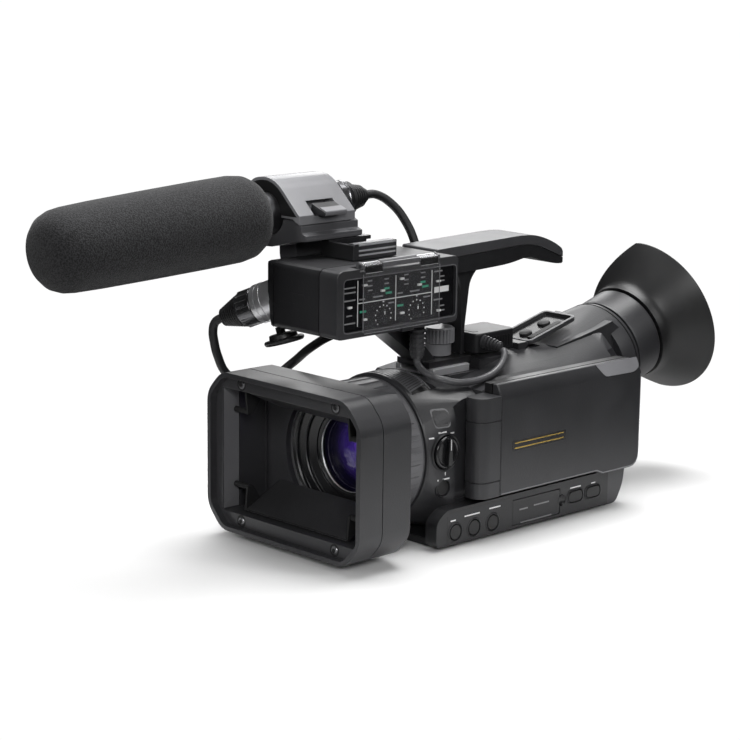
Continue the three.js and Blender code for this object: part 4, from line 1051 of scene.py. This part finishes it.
def add_holder_details():
    tab = bmesh.new()
    prism(tab, [(-15.4, 113.3), (-5.6, 113.3, 1), (-5.2, 115, 0.6), (-14.6, 118.6)], "y", 31.4, 45.6)
    piece("holder_latch", tab, "casing_dark", "holder_lid", bevel=0.4)
    bar = bmesh.new()
    prism(bar, [(-9.8, 113.4), (-5.1, 113.4, 0.8), (-4.9, 115.6, 0.8), (-9.6, 117.2, 0.5)], "y", 31.8, 45.2)
    piece("holder_latch_bar", bar, "holder_and_highlight_grey", "holder_lid", bevel=0.4)
    rim = bmesh.new()
    shell = [(-51.6, 112.2), (-51.2, 119.8, 6), (-43.8, 128.2, 4), (-34, 129.7, 5), (-26.2, 127.2, 4),
             (-11.6, 113.7)]
    inside = [(-12.6, 113.4), (-26.8, 126.4, 4), (-34, 128.9, 5), (-43.4, 127.4, 4), (-50.4, 119.4, 6),
              (-50.8, 112.2)]
    prism(rim, shell + inside, "y", 20.62, 21.1)
    piece("holder_lid_rim", rim, "trim_and_highlight_grey", "holder_lid", bevel=0.1)
    # A near-black plate just inside the lid's open end: painted shade in the hollow of the lid.
    dark = bmesh.new()
    prism(dark, [(-50.7, 112.4), (-50.3, 119.3, 6), (-43.3, 127.2, 4), (-34, 128.7, 5),
                 (-26.9, 126.2, 4), (-12.8, 113)], "y", 20.55, 20.75)
    piece("holder_lid_hollow_shade", dark, "cup_rubber_and_hollow_shade", "holder_lid")
    slots = bmesh.new()
    for y in (24.5, 49.5):
        box(slots, (-11, -8.6), (y, y + 5.5), (104.2, 105.2))
    box(slots, (-13.6, -7.9), (22.4, 57.6), (101.9, 103.4))
    piece("holder_lip", slots, "cradle_grey", bevel=0.3)
    pads = bmesh.new()
    for y in (23, 40):
        box(pads, (-18.6, -12.2), (y, y + 15), (110.2, 111.1))
    piece("holder_pads", pads, "rubber", bevel=0.3)
    screw = bmesh.new()
    lathe(screw, [(0, 21.4), (3.2, 21.4), (3.6, 22), (0, 22)], move(-40, 0, 103.4), 24)
    piece("holder_screw", screw, "dark_metal", bevel=0.15)


# ---- viewfinder -------------------------------------------------------------------------------
VIEW_TILT = 17
VIEW = move(0, 226, 27.8) @ turn_x(VIEW_TILT)
CUP = {"collar": 26, "start": 23, "rise": 18, "cut": 0.65}


def trimmed_cup(point):
    """The eyecup's flare, cut back to its collar by a slanting plane on the grip side."""
    if point.y <= CUP["start"]:
        return point
    radius = math.hypot(point.x, point.z)
    side = max(0, -point.x / radius)
    slope = CUP["cut"]
    height = (CUP["rise"] + slope * 2 - slope * CUP["collar"] * side) / (1 + slope * 0.9 * side)
    keep = min(1, max(0.12, height / CUP["rise"]))
    scale = (CUP["collar"] + (radius - CUP["collar"]) * keep) / radius
    return Vector((point.x * scale, CUP["start"] + (point.y - CUP["start"]) * keep, point.z * scale))


def add_viewfinder():
    cup = bmesh.new()
    closed_lathe(cup, [(20.6, 18.7), (25.4, 18.7), (25.7, 20.4), (25.9, 22.9), (27.4, 25), (29, 26.9),
                       (31, 29.1), (34.6, 32.9), (38.2, 36.7), (41.2, 40), (42, 41), (41.9, 41.6),
                       (41.3, 42), (40.6, 41.6), (36.6, 37.9), (32.6, 34), (29.5, 31), (26.6, 27.7),
                       (24.6, 25.2), (22.4, 24), (20.6, 23.2)], VIEW, 112, trimmed_cup)
    piece("eyecup_rubber", cup, "cup_rubber_and_hollow_shade", "viewfinder", "eyecup")
    edge = bmesh.new()
    # A lighter, glossier band on the eyecup's lip: painted highlight on the rim.
    closed_lathe(edge, [(41.5, 41.1), (41.95, 41.0), (41.95, 41.5), (41.5, 41.8)], VIEW, 112, trimmed_cup)
    piece("eyecup_edge_highlight", edge, "black_rim_and_highlight", "viewfinder")
    tube = bmesh.new()
    closed_lathe(tube, [(19.5, 0.1), (23.1, 0.1), (23.2, 0.9), (24.4, 1.1), (24.6, 3), (24.65, 16.6),
                        (24.4, 17.2), (23.9, 17.4), (23.9, 18.1), (19.5, 18.1)], VIEW, 96)
    piece("viewfinder_sleeve", tube, "casing", "viewfinder", "viewfinder_tube", 0.15)
    grooves = bmesh.new()
    closed_lathe(grooves, [(25.3, -2.9), (25.55, -2.9), (25.4, -2.3), (25.1, -2.3)], VIEW, 96)
    piece("viewfinder_groove", grooves, "black_plastic", "viewfinder")
    glass = bmesh.new()
    lathe(glass, [(0, 13.2), (8, 13.5), (14, 14.2), (18.9, 15.2), (18.9, 16.8), (0, 17.3)], VIEW, 64)
    piece("eyepiece_glass", glass, "lens_glass", "viewfinder", "eyepiece_lens")
    holder = bmesh.new()
    closed_lathe(holder, [(19.2, 16.9), (20.4, 17.6), (20.4, 18.6), (17.4, 18.6), (16.6, 17.6)], VIEW, 64)
    piece("eyepiece_holder", holder, "gloss_black", "viewfinder")
    slider = bmesh.new()
    for i in range(5):
        box(slider, (-19.38, -19.1), (193 + i * 2, 194.1 + i * 2), (8, 18))
    piece("dioptre_ribs", slider, "black_plastic", "viewfinder")


# ---- top and back of the body -----------------------------------------------------------------
JACK = move(0, 156.2, 38.1) @ Matrix.Rotation(0.25, 4, "X")


def add_jack_cover():
    tray = bmesh.new()
    outer = rounded(plate(-11, 10.6, 1.4, 37.4, 3), 6)
    inner = rounded(plate(-9.5, 9.1, 2.9, 35.9, 2), 6)
    rows = []
    for outline, level, grow in ((outer, 0, 0.96), (outer, 0.5, 1), (outer, 2, 1), (outer, 2.6, 0.97),
                                 (inner, 2.6, 1), (inner, 0.9, 0.99)):
        middle = Vector((-0.2, 19.4))
        rows.append([tray.verts.new(JACK @ Vector((*(middle + (p - middle) * grow), level)))
                     for p in outline])
    count = len(outer)
    for first, second in zip(rows, rows[1:]):
        for i in range(count):
            j = (i + 1) % count
            tray.faces.new((first[i], first[j], second[j], second[i]))
    tray.faces.new(rows[0])
    tray.faces.new(rows[-1])
    prism(tray, [(1, -0.6), (9, -0.6), (9, 4), (1, 4)], "z", 0.2, 1.8, JACK)
    piece("jack_cover_tray", tray, "black_rim_and_highlight", "jack_cover", "jack_cover", 0.2)
    # A steel strip along the tray's rim: painted highlight on the rim.
    rim = bmesh.new()
    for start, end in zip(outer, outer[1:] + outer[:1]):
        a, b = start * 0.985, end * 0.985
        ridge(rim, a + Vector((0, 0.28)), b + Vector((0, 0.28)), 0.45, JACK @ move(0, 0, 2.52))
    piece("jack_cover_rim_highlight", rim, "collar_steel_and_highlight", "jack_cover")
    plugs = bmesh.new()
    for y in (11, 25):
        lathe(plugs, [(0, 0.9), (3.4, 0.9), (3.2, 2.1), (2.2, 2.4), (0, 2.4)],
              JACK @ move(-1, y, 0) @ turn_x(90), 24)
    box(plugs, (3.6, 7), (7, 30), (0.9, 1.7), JACK)
    piece("jack_cover_plugs", plugs, "rubber", "jack_cover", bevel=0.15)
    well = bmesh.new()
    prism(well, plate(-9.4, 9, 3, 35.8, 2), "z", 0.92, 1.02, JACK)
    piece("jack_cover_well", well, "gloss_black", "jack_cover")


def add_top_details():
    marks = bmesh.new()
    for x0, x1, y in ((15.6, 18.6, 99), (21, 27.4, 90.6), (27.6, 30.4, 97.6)):
        z = 32.3 if y < 95 else 28.9
        box(marks, (x0, x1), (y, y + 0.9), (z - 0.6, z + 0.05))
    piece("top_marks", marks, "grey_print")
    strip = bmesh.new()
    prism(strip, [(-36.9, 97, 1), (-33, 97, 1), (-33, 128, 1), (-36.9, 128, 1)], "z", 27.7, 28.3)
    piece("grip_seam_strip", strip, "black_plastic", bevel=0.1)
    zoom = bmesh.new()
    box(zoom, (-31, -19), (146.9, 147.4), (36.3, 36.9))
    piece("zoom_marks", zoom, "grey_print")


SWITCH = {"x": -37.4, "z": 8}


def add_back_details():
    """Power switch, socket door, battery latch and the battery door's seam."""
    switch = bmesh.new()
    closed_lathe(switch, [(6.4, 194), (8.6, 194), (8.4, 195.6), (7.4, 196.2), (6.5, 195.6)],
                 move(SWITCH["x"], 0, SWITCH["z"]), 48)
    x = SWITCH["x"]
    prism(switch, [(x - 1.4, 17.6), (x + 1.4, 17.6), (x + 1, 14.6), (x - 1, 14.6)], "y", 193.6, 196.8)
    piece("power_switch_ring", switch, "casing_dark", bevel=0.2)
    doors = bmesh.new()
    prism(doors, plate(22.5, 35, -20, 16, 2), "y", 193.4, 194.3)
    piece("rear_socket_door", doors, "casing_dark", bevel=0.35)
    lines = bmesh.new()
    box(lines, (26, 31.5), (194.2, 194.4), (-18.4, -17.8))
    piece("rear_door_mark", lines, "grey_print")
    latch = bmesh.new()
    prism(latch, plate(-8, 8, -30, -27, 1.2), "y", 195.2, 196.5)
    piece("battery_latch", latch, "black_plastic", "battery_door", bevel=0.3)
    seams = bmesh.new()
    box(seams, (-30, 36), (187.6, 188), (-42, -41.9))
    piece("battery_door_seam", seams, "black_plastic", "battery_door")


def add_base_details():
    """Metal bushes in the base for the tripod thread and the locating pin, and the base's pads."""
    bushes = bmesh.new()
    for radius, y in ((3.2, 110), (2.1, 129)):
        closed_lathe(bushes, [(radius, 38.6), (radius, 41.9), (radius + 1.3, 41.9), (radius + 1.3, 41.7),
                              (radius + 0.05, 41.6), (radius + 0.05, 38.6)],
                     move(0, y, 0) @ turn_x(-90), 40)
    piece("tripod_bushes", bushes, "satin_metal")
    pads = bmesh.new()
    for x in (-26, 22):
        prism(pads, plate(x - 5, x + 5, 84, 108, 3), "z", -41.99, -41.7)
    piece("base_pads", pads, "rubber")
    screws = bmesh.new()
    for x, y in ((-31, 72), (30, 72), (-31, 168), (30, 168)):
        lathe(screws, [(0, 41.6), (2.1, 41.6), (2.2, 41.9), (1.2, 41.95), (1.1, 41.5), (0, 41.5)],
              move(x, y, 0) @ turn_x(-90), 20)
    piece("base_screws", screws, "dark_metal")


# ---- hand strap -------------------------------------------------------------------------------
STRAP_PLAN = [(-51.3, 101.9), (-55.6, 107.6), (-59.2, 114.2), (-61.8, 122), (-63.6, 130), (-64.5, 138),
              (-64.8, 146), (-64.5, 154), (-63.6, 162), (-61.8, 170), (-59.2, 177.8), (-55.6, 184.4),
              (-51.3, 190.1)]


def add_strap():
    """A padded band over the hand: crowned outside, pulled in along two stitched channels."""
    smooth = [Vector(p) for p in STRAP_PLAN]
    for _ in range(2):
        finer = []
        for a, b in zip(smooth, smooth[1:]):
            finer += [a, (a + b) / 2]
        smooth = finer + [smooth[-1]]
    count = len(smooth)
    rows = 24
    middle = -3
    band = bmesh.new()
    outside, inside = [], []
    for i, point in enumerate(smooth):
        ahead = smooth[min(i + 1, count - 1)] - smooth[max(i - 1, 0)]
        normal = Vector((-abs(ahead.y), ahead.x if ahead.y > 0 else -ahead.x)).normalized()
        share = i / (count - 1)
        taper = min(1, 6 * share, 6 * (1 - share))
        half = 9 + 5 * taper
        out_row, in_row = [], []
        for k in range(rows + 1):
            across = -1 + 2 * k / rows
            crown = (1 - across ** 6) ** 0.5
            channel = 0.75 * math.exp(-((abs(across) - 0.72) / 0.07) ** 2) * taper
            quilt = 0.35 * math.exp(-(((share * 7) % 1 - 0.5) / 0.06) ** 2) * taper
            thick = 0.4 + (1.1 + 1.2 * taper) * crown - channel - (quilt if abs(across) < 0.66 else 0)
            z = middle + across * half
            spread_out = point + normal * max(0.3, thick)
            spread_in = point - normal * 0.25 * crown
            out_row.append(band.verts.new((spread_out.x, spread_out.y, z)))
            in_row.append(band.verts.new((spread_in.x, spread_in.y, z)))
        outside.append(out_row)
        inside.append(in_row)
    for grid in (outside, inside):
        for first, second in zip(grid, grid[1:]):
            for k in range(rows):
                band.faces.new((first[k], first[k + 1], second[k + 1], second[k]))
    for k in range(rows):
        for end in (0, -1):
            band.faces.new((outside[end][k], outside[end][k + 1], inside[end][k + 1], inside[end][k]))
    for first, second, a, b in zip(outside, outside[1:], inside, inside[1:]):
        for side in (0, -1):
            band.faces.new((first[side], second[side], b[side], a[side]))
    strap = piece("hand_strap_pad", band, "strap", stands_for="hand_strap")
    stitches = bmesh.new()
    for height in (-0.72, 0.72):
        for i in range(6, count - 6):
            point, after = smooth[i], smooth[i + 1]
            level = middle + height * 14
            mid = (point + after) / 2 + Vector((-2.05, 0))
            box(stitches, (mid.x - 0.2, mid.x + 0.16), (mid.y - 0.55, mid.y + 0.55),
                (level - 0.14, level + 0.14))
    piece("strap_stitches", stitches, "casing", bevel=0.08)
    loops = bmesh.new()
    for y in (101.2, 189.2):
        closed_lathe(loops, [(0.75, -13), (1.1, -13), (1.1, 9), (0.75, 9)],
                     move(-50.4, y + 0.6, -0.5) @ turn_x(90), 12)
    piece("strap_pins", loops, "dark_metal")


# ---- putting it together ----------------------------------------------------------------------
add_camera()
add_studio()
add_cable("mic_cable_run", MIC_ROUTE, 4.3, "rubber", "mic_cable")
add_cable("module_cable_run", MODULE_ROUTE, 3.4, "cable_grey", "module_cable")
dress_frame()
add_hood_details()
add_lens_details()
add_front_details()
add_panel_details()
add_monitor_details()
add_module_details()
add_module_boot()
add_shoe_and_wheel()
add_input_plug()
add_microphone()
add_holder_details()
add_viewfinder()
add_jack_cover()
add_top_details()
add_back_details()
add_base_details()
add_strap()
